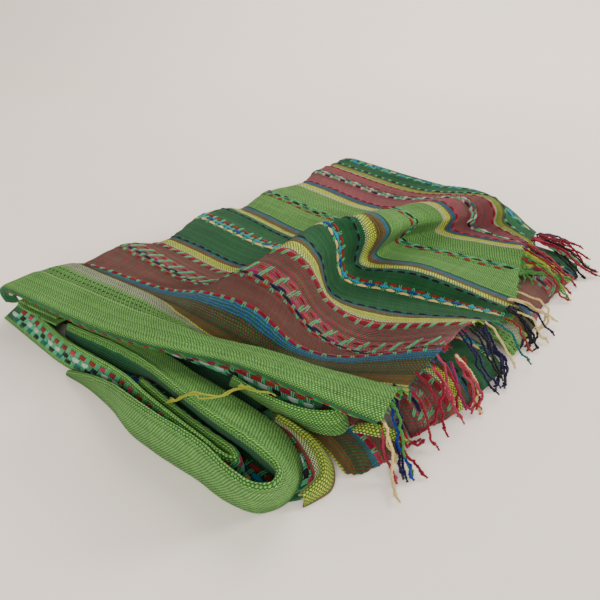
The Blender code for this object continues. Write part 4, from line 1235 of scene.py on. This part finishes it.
# One loose olive thread lies across the front. It is a two-ply warp end that has
# worked out of the weave, with a small knot in it and its tip untwisted.
THREAD_POINTS = ((52, -164, 23.5), (55, -160, 25), (60, -155, 29.4), (67, -151, 30),
                 (73, -140, 27.6), (76, -128, 28), (84, -123, 27.4), (95, -119, 26))
thread_yarn = Yarn("loose_thread", "olive")
two_ply(thread_yarn, [Vector(p) for p in THREAD_POINTS], 0.45, 4)
beside = Vector((1.0, -1.2, 0.3))
two_ply(thread_yarn, [Vector(p) + beside for p in THREAD_POINTS[1:7]], 0.36, 17)
for dx, dy in ((-3.5, -3.0), (-4.5, -0.6), (-2.0, -4.2)):
    end = Vector(THREAD_POINTS[1])
    half = end + Vector((dx * 0.5, dy * 0.5, 0.3))
    tail = spline((end, half, end + Vector((dx, dy, -0.6))), (3, 3))
    thread_yarn.lay(tail, [(0.3, 0.3)] * len(tail), [UPWARD] * len(tail))
knot_at = Vector(THREAD_POINTS[5])
thread_yarn.lay([knot_at + Vector((-1.6 + 0.8 * k, 0.6 * k - 1.2, 0)) for k in range(5)],
                [(0.6, 0.6), (1.3, 1.2), (1.6, 1.4), (1.3, 1.2), (0.6, 0.6)],
                [Vector((0, 0, 1))] * 5)
thread_yarn.make("fringe_yarn")


# The table is a plain pale sheet of paper that curves up behind the pile. A soft
# light hangs above and behind the pile, a wide one stands in front of it, and a
# third brightens the paper behind, on the right.
SWEEP_FLAT = 0.9          # metres from the pile to where it starts to rise
SWEEP_CURVE = 0.8
SWEEP_TOP = 5.0
SWEEP_REACH = 9.0         # towards the camera and to each side
SWEEP_STEPS = 12


def sweep_piece():
    mesh = bpy.data.meshes.new("table_sweep")
    profile = [(-SWEEP_REACH, 0.0)] + [(0.1 * i, 0.0) for i in range(10)]
    for k in range(1, SWEEP_STEPS + 1):
        turn = math.pi / 2 * k / SWEEP_STEPS
        profile.append((SWEEP_FLAT + SWEEP_CURVE * math.sin(turn),
                        SWEEP_CURVE - SWEEP_CURVE * math.cos(turn)))
    profile.append((SWEEP_FLAT + SWEEP_CURVE, SWEEP_TOP))
    corners, faces = [], []
    back = Vector((-math.sin(CAMERA_TURN), math.cos(CAMERA_TURN), 0))
    side = Vector((math.cos(CAMERA_TURN), math.sin(CAMERA_TURN), 0))
    for reach, height in profile:
        for aside in (-SWEEP_REACH, SWEEP_REACH):
            corners.append(back * reach + side * aside + Vector((0, 0, height)))
    for i in range(len(profile) - 1):
        faces.append((2 * i, 2 * i + 1, 2 * i + 3, 2 * i + 2))
    mesh.from_pydata(corners, [], faces)
    mesh.shade_smooth()
    sweep = Finish("table_paper", 0.9, 0.0)
    tone = sweep.mix(sweep.grain(3.0, 3.0), paint(245, 231, 216), paint(249, 238, 225))
    sweep.join(sweep.surface.inputs["Base Color"], tone)
    mesh.materials.append(sweep.material)
    piece = bpy.data.objects.new("table_sweep", mesh)
    bpy.context.scene.collection.objects.link(piece)


sweep_piece()
# Each light's name, place, aim, size in metres, watts and tint.
LIGHTS = (
    ("soft_key", (-0.55, 0.95, 1.15), (0.0, 0.0, 0.0), 1.1, 15.0, (1.0, 0.985, 0.96)),
    ("front_fill", (1.1, -1.6, 0.9), (0.0, 0.0, 0.0), 1.6, 56.0, (1.0, 0.99, 0.975)),
    ("back_wash", (1.7, 2.8, 1.1), (1.0, 1.9, 0.0), 1.0, 120.0, (1.0, 0.99, 0.98)),
)
for name, place, aim, size, watts, tint in LIGHTS:
    lamp = bpy.data.lights.new(name, "AREA")
    lamp.size = size
    lamp.energy = watts
    lamp.color = tint
    light = bpy.data.objects.new(name, lamp)
    light.location = place
    light.rotation_euler = (Vector(place) - Vector(aim)).to_track_quat("Z", "Y").to_euler()
    bpy.context.scene.collection.objects.link(light)
world = bpy.data.worlds.new("room")
world.use_nodes = True
room_light = world.node_tree.nodes["Background"]
room_light.inputs["Color"].default_value = (0.97, 0.98, 1.0, 1.0)
room_light.inputs["Strength"].default_value = 0.42
bpy.context.scene.world = world
